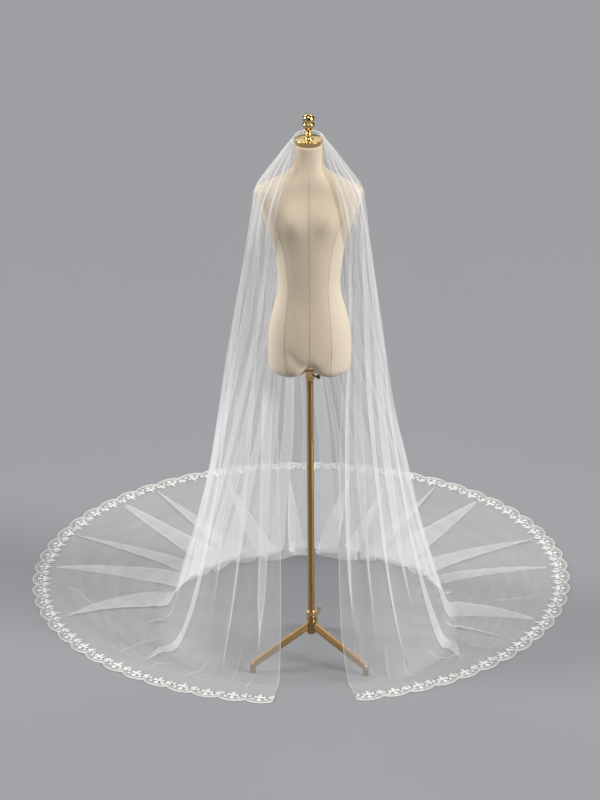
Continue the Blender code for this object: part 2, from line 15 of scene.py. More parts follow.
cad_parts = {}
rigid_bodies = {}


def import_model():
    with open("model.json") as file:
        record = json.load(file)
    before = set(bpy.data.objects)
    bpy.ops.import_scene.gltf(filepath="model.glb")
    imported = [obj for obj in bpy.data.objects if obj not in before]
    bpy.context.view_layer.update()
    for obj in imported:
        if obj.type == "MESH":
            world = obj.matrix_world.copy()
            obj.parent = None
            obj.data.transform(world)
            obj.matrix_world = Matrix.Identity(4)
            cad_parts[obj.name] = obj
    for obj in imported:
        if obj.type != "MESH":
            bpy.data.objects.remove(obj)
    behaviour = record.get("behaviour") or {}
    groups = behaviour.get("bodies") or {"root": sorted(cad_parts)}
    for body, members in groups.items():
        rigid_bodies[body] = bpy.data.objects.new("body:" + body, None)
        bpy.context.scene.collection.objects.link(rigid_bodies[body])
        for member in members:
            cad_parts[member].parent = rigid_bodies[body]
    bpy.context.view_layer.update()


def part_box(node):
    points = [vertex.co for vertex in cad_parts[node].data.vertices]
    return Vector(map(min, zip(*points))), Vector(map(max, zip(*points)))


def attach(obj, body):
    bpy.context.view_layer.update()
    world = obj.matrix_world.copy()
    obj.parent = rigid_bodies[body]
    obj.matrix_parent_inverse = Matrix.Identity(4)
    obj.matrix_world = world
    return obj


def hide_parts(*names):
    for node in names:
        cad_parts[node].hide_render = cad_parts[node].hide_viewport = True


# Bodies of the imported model
BODY, LEVER_BODY, SCREW_BODY = "veil_and_stand", "lever", "screw"

# Places
POLE_X, POLE_Y = 0.033, -0.612
HEM_Y = -0.0057
TENT_MIDDLE_Y = 0.30

# Camera: its distance in front of the pole, height, tilt below level, roll and lens in millimetres
CAMERA_AWAY, CAMERA_Z, CAMERA_DOWN, CAMERA_ROLL, CAMERA_LENS = 14.0, 7.35, 24.54, -0.38, 211.0
SENSOR_HEIGHT = 36.0
FLOOR_REACH = 40.0

# Veil
HEM_RADIUS, LACE_DEPTH = 0.935, 0.075
SCALLOPS, SCALLOP_RISE = 59, 0.017
SECTION_POWER = 2.3
FORM_CLEARANCE = 0.0026
FRONT_TOP_Z, TOP_RISE, TOP_POWER, RISE_STARTS_Z = 1.864, 0.021, 0.8, 1.76
CLOTH_COLUMNS, BASE_COLUMNS = 961, 1401
TENT_ROWS, TENT_FOOT_Z, FLOOR_ROWS = 55, 0.13, 35
FOOT_LEVELS = (0.09, 0.062, 0.042, 0.028, 0.018, 0.011, 0.0072, 0.0045)
LACE_ROWS = (0.25, 0.5, 0.75, 1.0)
FLOOR_LIFT, LOWEST_Z = 0.0016, 0.0012
HEADING_COLUMNS, HEADING_SIDES, HEADING_GATHERS, HEADING_RADIUS = 560, 8, 96, 0.0006
PUDDLE_START = 0.27
NET_PITCH, NET_DRIFT = 0.0018, 0.0026
NET_OPEN, NET_THREAD, NET_GLOW = 0.80, 1.34, 0.42
NET_WHITE = (0.94, 0.945, 0.95, 1)
FAN_START, FAN_ANGLE = 0.80, 1.50

# Form
NECK_TOP_Z = 1.861
FORM_POWER = 2.15
LINEN_PITCH = 0.0011
BUST_X, BUST_Z, BUST_RISE = 0.058, 1.622, 0.013
BUST_HALF_WIDTH, BUST_HALF_HEIGHT = 0.040, 0.050
THIGH_NOTCH, THIGH_NOTCH_WIDTH = 0.024, 0.034
GROOVE_DEPTH, GROOVE_HALF_WIDTH, GROOVE_TOP_Z = 0.013, 0.026, 1.150
GROIN_FOOT_X, GROIN_FOOT_Z, GROIN_TOP_X, GROIN_TOP_Z = 0.016, 1.078, 0.072, 1.172
GROIN_DEPTH, GROIN_HALF_WIDTH = 0.0045, 0.019
FORM_COLUMNS, FORM_ROWS = 144, 128

# Lights: far soft suns, and near panels that the metal mirrors.
SUNS = (
    # name, place that it shines from, target, softness in degrees, strength
    ("key", (4.8, -2.3, 2.7), (0, 0, 0), 20, 3.05),
    ("side", (-5.0, 0.1, 2.6), (0, 0, 0), 24, 2.80),
    ("back", (0.4, 4.6, 3.0), (0, 0, 0), 30, 0.20),
    ("rear_left", (-3.1, 4.4, 4.0), (0, 0, 0), 34, 0.55),
    ("rear_right", (3.1, 4.3, 4.5), (0, 0, 0), 34, 0.50),
)
PANELS = (
    # name, place, target, width, height, watts
    ("panel_left", (-2.6, -3.2, 2.6), (0.03, -0.6, 1.2), 0.5, 2.6, 6),
    ("panel_right", (2.8, -2.4, 2.4), (0.03, -0.6, 1.2), 0.5, 2.4, 8),
    ("panel_top", (0.0, -1.6, 4.4), (0.03, -0.6, 1.6), 1.2, 1.2, 18),
)

# The draped tulle at each level: half-widths to the left and right, the widest point's y, the
# front edges' y, the back's y, and the front edges' distances from the middle.
DRAPE = (
    # z, left, right, side_y, edge_y, back_y, edge_left, edge_right
    (1.8850, 0.0495, 0.0495, 0.000, -0.018, 0.052, 0.046, 0.048),
    (1.8600, 0.069, 0.069, 0.000, -0.026, 0.060, 0.051, 0.053),
    (1.8000, 0.110, 0.110, 0.000, -0.042, 0.078, 0.066, 0.064),
    (1.7600, 0.138, 0.137, 0.000, -0.054, 0.092, 0.077, 0.078),
    (1.7230, 0.1635, 0.1625, 0.003, -0.068, 0.103, 0.088, 0.090),
    (1.7040, 0.1750, 0.1740, 0.005, -0.073, 0.108, 0.093, 0.095),
    (1.6600, 0.180, 0.179, 0.010, -0.084, 0.118, 0.104, 0.106),
    (1.6000, 0.188, 0.187, 0.015, -0.080, 0.130, 0.112, 0.117),
    (1.5300, 0.199, 0.194, 0.030, -0.042, 0.150, 0.116, 0.121),
    (1.4200, 0.216, 0.206, 0.050, 0.020, 0.180, 0.112, 0.120),
    (1.2800, 0.238, 0.223, 0.080, 0.060, 0.220, 0.110, 0.118),
    (1.1000, 0.265, 0.246, 0.120, 0.082, 0.275, 0.111, 0.113),
    (0.9000, 0.292, 0.270, 0.150, 0.020, 0.345, 0.108, 0.101),
    (0.6500, 0.331, 0.320, 0.190, -0.060, 0.440, 0.104, 0.094),
    (0.4000, 0.382, 0.368, 0.230, -0.120, 0.550, 0.100, 0.092),
    (0.2000, 0.434, 0.418, 0.265, -0.158, 0.650, 0.101, 0.098),
    (0.0800, 0.464, 0.451, 0.285, -0.176, 0.715, 0.105, 0.110),
    (0.0300, 0.485, 0.468, 0.295, -0.183, 0.750, 0.107, 0.117),
    (0.0110, 0.505, 0.481, 0.300, -0.187, 0.775, 0.109, 0.121),
    (0.0045, 0.532, 0.497, 0.305, -0.190, 0.805, 0.111, 0.124),
)

# Folds pressed flat along the cloth, where it doubles back on itself. Places are shares of its
# edge-to-edge length, at the foot and where the fold ends on the floor. Half is the cloth that the
# fold takes up on each side, lean is the side it is laid to, the widths in millimetres are how far
# the cloth is doubled at the crown, shoulders, knees and feet, and reach is how far over the floor,
# from the feet to the lace, the doubled cloth runs out to a point.
FOLDS = (
    # place, end, half, lean, crown, shoulder, knee, foot, reach
    (0.027, 0.027, 0.017, 1, 3, 10, 34, 0, 0.30),
    (0.070, 0.072, 0.016, -1, 4, 9, 17, 0, 0.08),
    (0.106, 0.106, 0.016, 1, 3, 12, 26, 0, 0.75),
    (0.147, 0.152, 0.021, -1, 5, 14, 30, 44, 0.56),
    (0.190, 0.190, 0.018, 1, 4, 11, 24, 0, 0.70),
    (0.232, 0.228, 0.016, -1, 4, 12, 26, 14, 0.10),
    (0.286, 0.242, 0.032, -1, 6, 16, 40, 132, 0.98),
    (0.338, 0.311, 0.018, 1, 4, 13, 30, 112, 1.02),
    (0.370, 0.354, 0.014, -1, 4, 11, 26, 84, 1.06),
    (0.401, 0.402, 0.015, 1, 4, 11, 28, 96, 1.12),
    (0.430, 0.426, 0.013, -1, 4, 11, 22, 74, 1.04),
    (0.461, 0.466, 0.016, 1, 4, 12, 34, 66, 0.96),
    (0.496, 0.500, 0.016, -1, 4, 12, 26, 56, 0.88),
    (0.529, 0.532, 0.016, 1, 4, 12, 36, 70, 0.94),
    (0.556, 0.553, 0.011, -1, 3, 9, 18, 48, 0.86),
    (0.579, 0.580, 0.011, 1, 3, 9, 24, 56, 1.02),
    (0.609, 0.609, 0.018, -1, 4, 12, 34, 120, 1.04),
    (0.646, 0.668, 0.017, 1, 4, 11, 26, 100, 1.06),
    (0.680, 0.706, 0.015, -1, 4, 11, 28, 64, 1.04),
    (0.716, 0.724, 0.016, 1, 4, 12, 32, 12, 0.08),
    (0.756, 0.781, 0.020, -1, 5, 14, 36, 104, 1.08),
    (0.798, 0.816, 0.015, 1, 4, 11, 22, 24, 1.00),
    (0.848, 0.864, 0.022, 1, 5, 14, 30, 76, 0.50),
    (0.888, 0.888, 0.014, -1, 4, 11, 28, 0, 0.60),
    (0.922, 0.926, 0.014, 1, 3, 9, 20, 0, 0.08),
    (0.955, 0.955, 0.014, -1, 3, 9, 26, 0, 0.70),
    (0.983, 0.983, 0.010, 1, 2, 5, 14, 0, 0.40),
)

# How far some folds swing along the cloth as they come down to the floor.
FOOT_SWAY = (
    # place, sway
    (0.147, 0.015),
    (0.848, -0.005),
)

# Short soft creases near the feet of the front panels: places along the cloth at their lower and
# upper ends, and the ends' distances inwards from the rim.
TUCKS = (
    # place, end, from_rim, to, width
    (0.099, 0.092, 0.095, 0.225, 0.0055),
    (0.053, 0.049, 0.105, 0.260, 0.0050),
    (0.172, 0.193, 0.095, 0.290, 0.0065),
    (0.135, 0.131, 0.090, 0.180, 0.0050),
    (0.286, 0.275, 0.110, 0.260, 0.0070),
    (0.030, 0.033, 0.085, 0.150, 0.0045),
    (0.966, 0.990, 0.115, 0.275, 0.0055),
    (0.952, 0.946, 0.100, 0.225, 0.0050),
    (0.926, 0.931, 0.090, 0.175, 0.0045),
    (0.866, 0.882, 0.085, 0.225, 0.0060),
    (0.832, 0.838, 0.090, 0.180, 0.0055),
    (0.742, 0.745, 0.100, 0.300, 0.0070),
    (0.302, 0.316, 0.095, 0.330, 0.0080),
    (0.256, 0.246, 0.085, 0.210, 0.0060),
)

# How far a laid fold stands off the cloth behind it.
FOLD_HEIGHT = (
    # z, height
    (0.0, 0.0075),
    (0.30, 0.0085),
    (0.83, 0.0090),
    (1.60, 0.0045),
    (1.80, 0.0022),
    (1.885, 0.0010),
)
FLOOR_FOLD_HEIGHT = 0.0042

# Small uneven waves of the cloth: how many, the heights where they end and are full, and how far
# they stand out. The finest start at the heading, and the slackest run down to the floor.
GATHERS = (
    # count, ends, full, outward
    (104, 1.74, 1.86, 0.0006),
    (61, 1.62, 1.80, 0.0005),
    (23, 0.05, 1.10, 0.0014),
)

# How much of the view the net covers: lying single, and what each state adds to that.
NET_COVER = 0.27
COVER_HANGING, COVER_GATHERED, COVER_STREAKS, COVER_RIPPLES = -0.06, 0.07, 0.008, 0.055
COVER_CREASE, COVER_HANGING_CREASE, COVER_EDGE = 0.46, -0.14, 0.50
COVER_PUDDLE, COVER_TUCK, COVER_UNDER_LACE = 0.12, 0.16, 0.06

# The form's sections: half-width, and depth in front of and behind the pole's axis.
FORM = (
    # z, half, front, back
    (1.861, 0.0462, 0.0462, 0.0462),
    (1.820, 0.0464, 0.0462, 0.0466),
    (1.798, 0.0484, 0.0482, 0.0490),
    (1.782, 0.0528, 0.0512, 0.0520),
    (1.769, 0.0612, 0.0545, 0.0550),
    (1.757, 0.0762, 0.0575, 0.0580),
    (1.744, 0.1010, 0.0600, 0.0605),
    (1.731, 0.1270, 0.0620, 0.0630),
    (1.718, 0.1530, 0.0640, 0.0660),
    (1.709, 0.1680, 0.0660, 0.0680),
    (1.699, 0.1740, 0.0685, 0.0710),
    (1.675, 0.1720, 0.0760, 0.0760),
    (1.640, 0.1600, 0.0860, 0.0830),
    (1.600, 0.1460, 0.0915, 0.0880),
    (1.560, 0.1310, 0.0920, 0.0890),
    (1.520, 0.1185, 0.0900, 0.0870),
    (1.480, 0.1105, 0.0875, 0.0830),
    (1.430, 0.1040, 0.0845, 0.0780),
    (1.380, 0.1005, 0.0815, 0.0750),
    (1.330, 0.1060, 0.0805, 0.0790),
    (1.270, 0.1220, 0.0830, 0.0900),
    (1.205, 0.1330, 0.0860, 0.1020),
    (1.140, 0.1355, 0.0850, 0.1060),
    (1.092, 0.1330, 0.0820, 0.1010),
    (1.074, 0.1270, 0.0740, 0.0910),
    (1.060, 0.1100, 0.0570, 0.0720),
)

# The cover's shaped seams in front, from the armholes over the bust to the hips.
SHAPED_SEAMS = (
    # z, left, right
    (1.665, 0.150, 0.148),
    (1.620, 0.118, 0.112),
    (1.580, 0.101, 0.090),
    (1.500, 0.080, 0.071),
    (1.390, 0.069, 0.060),
    (1.335, 0.071, 0.063),
    (1.235, 0.081, 0.069),
    (1.160, 0.083, 0.071),
    (1.065, 0.073, 0.068),
    (1.050, 0.072, 0.067),
)

# Stand
CAP_RING_DEPTH = 0.0012
RING_BORE = 0.0117
LEG_ANGLES = (86.0, 206.0, 326.0)
LEG_ROOT, LEG_REACH, LEG_HEEL, LEG_WIDTH = 0.0154, 0.226, 0.2102, 0.016
LEVER_X, LEVER_Z, PIVOT_R, LEVER_THICKNESS = 0.0255, 0.1755, 0.0034, 0.006
SCREW_ANGLE, SCREW_Z, SCREW_FOOT = -25.0, 1.047, 0.0163
SCREW_R, GRIP_R, GRIP_START, SCREW_LENGTH = 0.0032, 0.0075, 0.0110, 0.0190
KNURLS, KNURL_DEPTH = 40, 0.0005

# Grooves turned in the bars: depth, width, slope, and the edges of the bar above and below.
COLLAR_GROOVE = (0.0012, 0.0030, 0.0005, 0.0014, 0.0010)
POLE_GROOVE = (0.0004, 0.0016, 0.0004, 0.0008, 0.0008)
HUB_GROOVE = (0.0013, 0.0040, 0.0005, 0.0015, 0.0018)

# The lever's arm above its pivot, as x and z from the pivot, up its outer side and down its inner.
LEVER_ARM = [
    (0.0040, 0.0040), (0.0050, 0.0070), (0.0064, 0.0105), (0.0084, 0.0150), (0.0097, 0.0187),
    (0.0099, 0.0201), (0.0093, 0.0211), (-0.0024, 0.0237), (-0.0034, 0.0234), (-0.0038, 0.0222),
    (-0.0050, 0.0160), (-0.0054, 0.0130), (-0.0050, 0.0090), (-0.0034, 0.0040),
]

# The finial's turned outline as radius and height above its foot, from the top down.
FINIAL = (
    (0.0000, 0.0850), (0.0075, 0.0836), (0.0145, 0.0795), (0.0188, 0.0735), (0.0204, 0.0665),
    (0.0196, 0.0605), (0.0170, 0.0560), (0.0196, 0.0525), (0.0206, 0.0475), (0.0190, 0.0410),
    (0.0140, 0.0330), (0.0095, 0.0270), (0.0082, 0.0225), (0.0112, 0.0200), (0.0112, 0.0165),
    (0.0085, 0.0140), (0.0095, 0.0060), (0.0130, 0.0022), (0.0130, 0.0000), (0.0000, 0.0000),
)


# ---------------------------------------------------------------- meshes


def add_mesh(name, vertices, faces, material, body=BODY):
    """A smooth-shaded piece that rides on a body."""
    mesh = bpy.data.meshes.new(name)
    mesh.from_pydata(np.asarray(vertices, float).tolist(), [], [list(map(int, f)) for f in faces])
    mesh.update()
    mesh.shade_smooth()
    mesh.materials.append(material)
    obj = bpy.data.objects.new(name, mesh)
    bpy.context.scene.collection.objects.link(obj)
    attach(obj, body)
    return obj


def grid_faces(rows, columns, closed=False):
    """Quads between neighbouring rows of points."""
    across = np.arange(columns if closed else columns - 1)
    after = (across + 1) % columns
    faces = [
        np.stack([r * columns + across, (r + 1) * columns + across,
                  (r + 1) * columns + after, r * columns + after], axis=1)
        for r in range(rows - 1)
    ]
    return np.concatenate(faces)


def add_grid(name, rows, material, closed=False, capped=False, body=BODY):
    """A piece from rows of points, closed into rings, and capped at its first and last rows."""
    count, across = rows.shape[:2]
    faces = [tuple(face) for face in grid_faces(count, across, closed)]
    if capped:
        faces.append(tuple(range(across)))
        faces.append(tuple(range((count - 1) * across, count * across))[::-1])
    return add_mesh(name, rows.reshape(-1, 3), faces, material, body)


def set_value(obj, name, values):
    """A number for every vertex, which the piece's material reads."""
    layer = obj.data.attributes.new(name, "FLOAT", "POINT")
    layer.data.foreach_set("value", np.asarray(values, np.float32).ravel())


def set_cloth_map(obj, across, down):
    """The flat cloth's own coordinates, in metres."""
    layer = obj.data.uv_layers.new(name="cloth")
    corners = np.zeros(len(obj.data.loops), np.int32)
    obj.data.loops.foreach_get("vertex_index", corners)
    flat = np.stack([np.ravel(across), np.ravel(down)], axis=1)[corners]
    layer.data.foreach_set("uv", flat.astype(np.float32).ravel())


def joined(parts):
    """One list of points and one of faces from several."""
    points, faces, count = [], [], 0
    for some_points, some_faces in parts:
        points.append(np.asarray(some_points, float))
        faces += [tuple(int(i) + count for i in face) for face in some_faces]
        count += len(some_points)
    return np.concatenate(points), faces


def table_at(table, levels):
    """The table's columns at each height, eased between its rows. Its heights run downwards."""
    rows = np.array(table)
    heights = rows[:, 0]
    levels = np.clip(np.atleast_1d(levels), heights[-1], heights[0])
    below = np.clip(np.searchsorted(-heights, -levels), 1, len(rows) - 1)
    above = below - 1
    before = np.maximum(above - 1, 0)
    after = np.minimum(below + 1, len(rows) - 1)
    span = (heights[below] - heights[above])[:, None]
    share = (levels[:, None] - heights[above][:, None]) / span
    slope_above = (rows[below] - rows[before]) / (heights[below] - heights[before])[:, None] * span
    slope_below = (rows[after] - rows[above]) / (heights[after] - heights[above])[:, None] * span
    return blended(rows[above], slope_above, rows[below], slope_below, share)


def blended(start, start_slope, end, end_slope, share):
    """A smooth curve's point, a share of the way from its start to its end."""
    square, cube = share**2, share**3
    return (
        start * (2 * cube - 3 * square + 1)
        + start_slope * (cube - 2 * square + share)
        + end * (3 * square - 2 * cube)
        + end_slope * (cube - square)
    )


def unit(vectors):
    """The same directions with lengths of 1."""
    return vectors / np.linalg.norm(vectors, axis=-1, keepdims=True)


def eased(share):
    """0 to 1 with no corner at either end."""
    share = np.clip(share, 0, 1)
    return share * share * (3 - 2 * share)


# ---------------------------------------------------------------- materials


class Nodes:
    """The nodes of a material or of the world, made one after another."""

    def __init__(self, owner):
        owner.use_nodes = True
        self.tree = owner.node_tree
        self.tree.nodes.clear()

    def add(self, kind, inputs=None, **settings):
        """A node with its settings, whose inputs take either a value or another node's output."""
        made = self.tree.nodes.new("ShaderNode" + kind)
        for key, value in settings.items():
            setattr(made, key, value)
        for key, value in (inputs or {}).items():
            if isinstance(value, bpy.types.NodeSocket):
                self.tree.links.new(value, made.inputs[key])
            else:
                made.inputs[key].default_value = value
        return made

    def place(self):
        """Where each point lies in the piece's own coordinates."""
        return self.add("TexCoord").outputs["Object"]

    def maths(self, operation, *values, clamp=False):
        """The result of a Math node."""
        inputs = dict(enumerate(values))
        return self.add("Math", inputs, operation=operation, use_clamp=clamp).outputs[0]

    def vector(self, operation, first, second):
        """The result of a Vector Math node."""
        made = self.add("VectorMath", {0: first, 1: second}, operation=operation)
        return made.outputs["Value" if operation == "DOT_PRODUCT" else "Vector"]

    def noise(self, scale, detail=2.0, stretch=None):
        """A noise pattern from 0 to 1 in the piece's own coordinates, stretched along its axes."""
        place = self.place()
        if stretch:
            place = self.add("Mapping", {"Vector": place, "Scale": stretch}).outputs[0]
        inputs = {"Scale": scale, "Detail": detail, "Vector": place}
        return self.add("TexNoise", inputs).outputs["Fac"]

    def waves(self, pitch, distortion, direction, detail=2.0):
        """Even bands from 0 to 1, a pitch apart."""
        inputs = {"Vector": self.place(), "Scale": 1 / pitch / math.tau, "Distortion": distortion}
        inputs["Detail"] = detail
        return self.add("TexWave", inputs, bands_direction=direction).outputs["Fac"]

    def mixed(self, factor, first, second):
        """A colour between two others."""
        return self.add("Mix", {0: factor, 6: first, 7: second}, data_type="RGBA").outputs[2]

    def scaled(self, value, low, high, start=0.0, end=1.0):
        """A value from start to end, put between low and high."""
        inputs = {"Value": value, "From Min": start, "From Max": end, "To Min": low, "To Max": high}
        return self.add("MapRange", inputs).outputs[0]

    def surface(self, tone, roughness, relief, strength, distance, others):
        """The output's surface, with a fine relief and other settings of its shader."""
        bump = self.add("Bump", {"Height": relief, "Strength": strength, "Distance": distance})
        inputs = {"Base Color": tone, "Roughness": roughness, "Normal": bump.outputs[0], **others}
        self.finish(self.add("BsdfPrincipled", inputs))

    def finish(self, shader, kind="OutputMaterial"):
        """Gives the shader to the output."""
        self.tree.links.new(shader.outputs[0], self.add(kind).inputs[0])


def new_material(name):
    """An empty material and its nodes."""
    material = bpy.data.materials.new(name)
    return material, Nodes(material)


def tulle_material():
    """Soft net: white threads round open holes, denser where the cloth turns or gathers."""
    material, nodes = new_material("soft_tulle")
    flat = nodes.add("UVMap", uv_map="cloth").outputs[0]
    uneven = nodes.add("TexNoise", {"Vector": flat, "Scale": 110.0, "Detail": 0.0}).outputs["Color"]
    flat = nodes.vector("ADD", flat, nodes.vector("MULTIPLY", uneven, (NET_DRIFT, NET_DRIFT, 0.0)))
    waves = []
    for degrees in (0, 60, 120):
        turn = math.radians(degrees)
        way = tuple(np.array((math.cos(turn), math.sin(turn), 0)) * math.tau / NET_PITCH)
        waves.append(nodes.maths("COSINE", nodes.vector("DOT_PRODUCT", flat, way)))
    hexagons = nodes.maths("ADD", nodes.maths("ADD", waves[0], waves[1]), waves[2])
    thread = nodes.scaled(hexagons, NET_OPEN, NET_THREAD, 0.4, -1.2)
    cover = nodes.add("Attribute", attribute_name="net_cover").outputs["Fac"]
    cover = nodes.maths("MULTIPLY", cover, thread, clamp=True)
    soft = {"Roughness": 0.75, "Sheen Weight": 0.25, "Specular IOR Level": 0.25}
    cloth = nodes.add("BsdfPrincipled", {"Base Color": NET_WHITE, **soft})
    glow = nodes.add("BsdfTranslucent", {"Color": NET_WHITE})
    lit = nodes.add("MixShader", {0: NET_GLOW, 1: cloth.outputs[0], 2: glow.outputs[0]})
    clear = nodes.add("BsdfTransparent")
    nodes.finish(nodes.add("MixShader", {0: cover, 1: clear.outputs[0], 2: lit.outputs[0]}))
    return material


def thread_material(name, colour, shade, pitch):
    """Ivory cotton thread, twisted and slightly uneven."""
    material, nodes = new_material(name)
    twist = nodes.waves(pitch, 3.0, "DIAGONAL", 1.0)
    patches = nodes.noise(60.0, 3.0)
    tone = nodes.mixed(nodes.scaled(patches, 0.1, 0.9), colour, shade)
    tone = nodes.mixed(nodes.scaled(twist, 0.0, 0.35), tone, shade)
    soft = {"Sheen Weight": 0.2, "Specular IOR Level": 0.3}
    nodes.surface(tone, nodes.scaled(patches, 0.62, 0.82), twist, 0.5, 0.0004, soft)
    return material


def linen_material():
    """The form's cream cover: plain woven linen with slubs, and a painted highlight that makes its
    side panels paler, as where they face the side lights.
    """
    material, nodes = new_material("form_cover_linen")
    weave = nodes.maths("MULTIPLY", *(nodes.waves(LINEN_PITCH, 0.8, way) for way in "XZ"))
    slubs = nodes.noise(1.0, 3.0, (260.0, 260.0, 26.0))
    clouds = nodes.noise(7.0, 3.0)
    painted_side_light = nodes.add("Attribute", attribute_name="side_panel_painted_light").outputs["Fac"]
    tone = (0.58, 0.468, 0.336, 1), (0.735, 0.63, 0.485, 1)
    tone = nodes.mixed(nodes.scaled(weave, 0.0, 0.6), *tone)
    tone = nodes.mixed(nodes.scaled(slubs, 0.0, 0.5), tone, (0.78, 0.69, 0.555, 1))
    tone = nodes.mixed(nodes.scaled(clouds, 0.0, 0.28), tone, (0.60, 0.48, 0.35, 1))
    # Painted highlight: the side panels are mixed towards a paler cream, as if lit by the side
    # lights.
    tone = nodes.mixed(nodes.scaled(painted_side_light, 0.0, 0.20), tone, (0.88, 0.81, 0.70, 1))
    relief = nodes.maths("MULTIPLY", weave, 0.7)
    relief = nodes.maths("ADD", relief, nodes.maths("MULTIPLY", slubs, 0.6))
    soft = {"Sheen Weight": 0.15, "Specular IOR Level": 0.2}
    nodes.surface(tone, nodes.scaled(slubs, 0.78, 0.94), relief, 0.45, 0.0005, soft)
    return material


def metal_material(name, colour, tarnish, smooth, rough, brushed=0.0, drawn_out=0.0):
    """Gold-plated metal: faint clouds of tarnish, hairlines, finger marks, and a gloss that turning
    or polishing round the upright axis draws out along it."""
    material, nodes = new_material(name)
    clouds = nodes.noise(38.0, 4.0)
    hairs = nodes.maths("MULTIPLY", nodes.noise(1.0, 2.0, (1400.0, 1400.0, 30.0)), brushed)
    marks = nodes.noise(120.0, 2.0)
    tone = nodes.mixed(nodes.scaled(clouds, 0.0, 0.45), colour, tarnish)
    gloss = nodes.maths("ADD", nodes.scaled(clouds, smooth, rough), hairs)
    gloss = nodes.maths("ADD", gloss, nodes.scaled(marks, -0.02, 0.03))
    relief = nodes.maths("ADD", hairs, nodes.maths("MULTIPLY", marks, 0.04))
    metal = {"Metallic": 1.0}
    if drawn_out:
        metal["Tangent"] = nodes.add("Tangent", direction_type="RADIAL", axis="Z").outputs[0]
        metal["Anisotropic"] = drawn_out
        metal["Anisotropic Rotation"] = 0.25
    nodes.surface(tone, gloss, relief, 0.02, 0.0002, metal)
    return material


# ---------------------------------------------------------------- veil


def arc(start, end, along_x_first):
    """A quarter of a superellipse between two points, leaving the first along y or along x."""
    turn = np.linspace(0, math.pi / 2, 90)
    slow = np.cos(turn) ** (2 / SECTION_POWER)
    fast = np.sin(turn) ** (2 / SECTION_POWER)
    (x0, y0), (x1, y1) = start, end
    if along_x_first:
        return np.stack([x0 + (x1 - x0) * fast, y1 + (y0 - y1) * slow], axis=1)
    return np.stack([x1 + (x0 - x1) * slow, y0 + (y1 - y0) * fast], axis=1)


def section(level):
    """The smooth outline of the hanging cloth at a height, from the left front edge round."""
    _, left, right, side_y, edge_y, back_y, edge_left, edge_right = table_at(DRAPE, level)[0]
    parts = (
        arc((-edge_left, edge_y), (-left, side_y), True),
        arc((-left, side_y), (0, back_y), False),
        arc((0, back_y), (right, side_y), True),
        arc((right, side_y), (edge_right, edge_y), False),
    )
    return np.concatenate([part[:-1] for part in parts[:-1]] + [parts[-1]])


def along(line, places):
    """Points at shares of a line's length."""
    steps = np.linalg.norm(np.diff(line, axis=0), axis=1)
    share = np.concatenate([[0], np.cumsum(steps)]) / steps.sum()
    return np.stack([np.interp(places, share, line[:, i]) for i in range(line.shape[1])], axis=1)


def top_height(places):
    """The gathered top edge rises from the front edges to the back of the neck cap."""
    return FRONT_TOP_Z + TOP_RISE * np.sin(math.pi * places) ** TOP_POWER


def hem_angles(feet):
    """The bearing, about the hem's middle, where the line from the tent's middle through each foot
    meets the circle on which the lace starts."""
    middle = np.array([POLE_X, POLE_Y + TENT_MIDDLE_Y])
    ray = unit(feet - middle)
    offset = middle - np.array([0.0, HEM_Y])
    inward = ray @ offset
    reach = np.sqrt(inward**2 - offset @ offset + (HEM_RADIUS - LACE_DEPTH) ** 2) - inward
    ends = middle + ray * reach[:, None]
    return np.unwrap(np.arctan2(ends[:, 1] - HEM_Y, ends[:, 0]))


def scallop_rim(angles):
    """The radius of the scalloped rim at each bearing."""
    share = (angles - angles[0]) / (angles[-1] - angles[0])
    phase = (share * SCALLOPS) % 1.0
    return HEM_RADIUS - SCALLOP_RISE * (1 - np.sin(math.pi * phase) ** 0.6)


def cloth_base():
    """The veil before its folds: rows of points from the gathered top down to the floor and out to
    the rim, each row's height or its share of the way over the floor, and the hem's bearings."""
    places = np.linspace(0, 1, BASE_COLUMNS)
    top = DRAPE[0][0]
    levels = np.concatenate([np.linspace(top, TENT_FOOT_Z, TENT_ROWS), FOOT_LEVELS])
    rows = []
    for level in levels:
        flat = along(section(level), places)
        fade = max(0.0, (level - RISE_STARTS_Z) / (top - RISE_STARTS_Z))
        height = level + (top_height(places) - top) * fade
        rows.append(np.column_stack([POLE_X + flat[:, 0], POLE_Y + flat[:, 1], height]))
    feet = rows[-1][:, :2]
    angles = hem_angles(feet)
    ring = np.stack([np.cos(angles), np.sin(angles)], axis=1)
    start = HEM_RADIUS - LACE_DEPTH
    ends = ring * start + (0, HEM_Y)
    shares = np.linspace(0, 1, FLOOR_ROWS)[1:] ** 1.15
    for share in shares:
        flat = feet * (1 - share) + ends * share
        height = FLOOR_LIFT + (levels[-1] - FLOOR_LIFT) * (1 - min(1.0, share / 0.12))
        rows.append(np.column_stack([flat, np.full(len(flat), height)]))
    rim = scallop_rim(angles)
    for share in LACE_ROWS:
        flat = ring * (start + (rim - start) * share)[:, None] + (0, HEM_Y)
        rows.append(np.column_stack([flat, np.full(len(flat), FLOOR_LIFT)]))
    floor = np.concatenate([np.zeros(len(levels)), shares, np.add(LACE_ROWS, 1)])
    height = np.concatenate([levels, np.zeros(len(rows) - len(levels))])
    return np.array(rows), height, floor, angles


def steepness_for(doubled):
    """How steep a fold's wave is drawn for a doubled width, as a share of the cloth it takes up."""
    steep = np.linspace(1.0, 14.0, 400)
    turn = np.arccos(1 / steep) / math.pi
    width = steep / math.pi * np.sin(math.pi * turn) - turn
    return np.interp(doubled, width, steep)


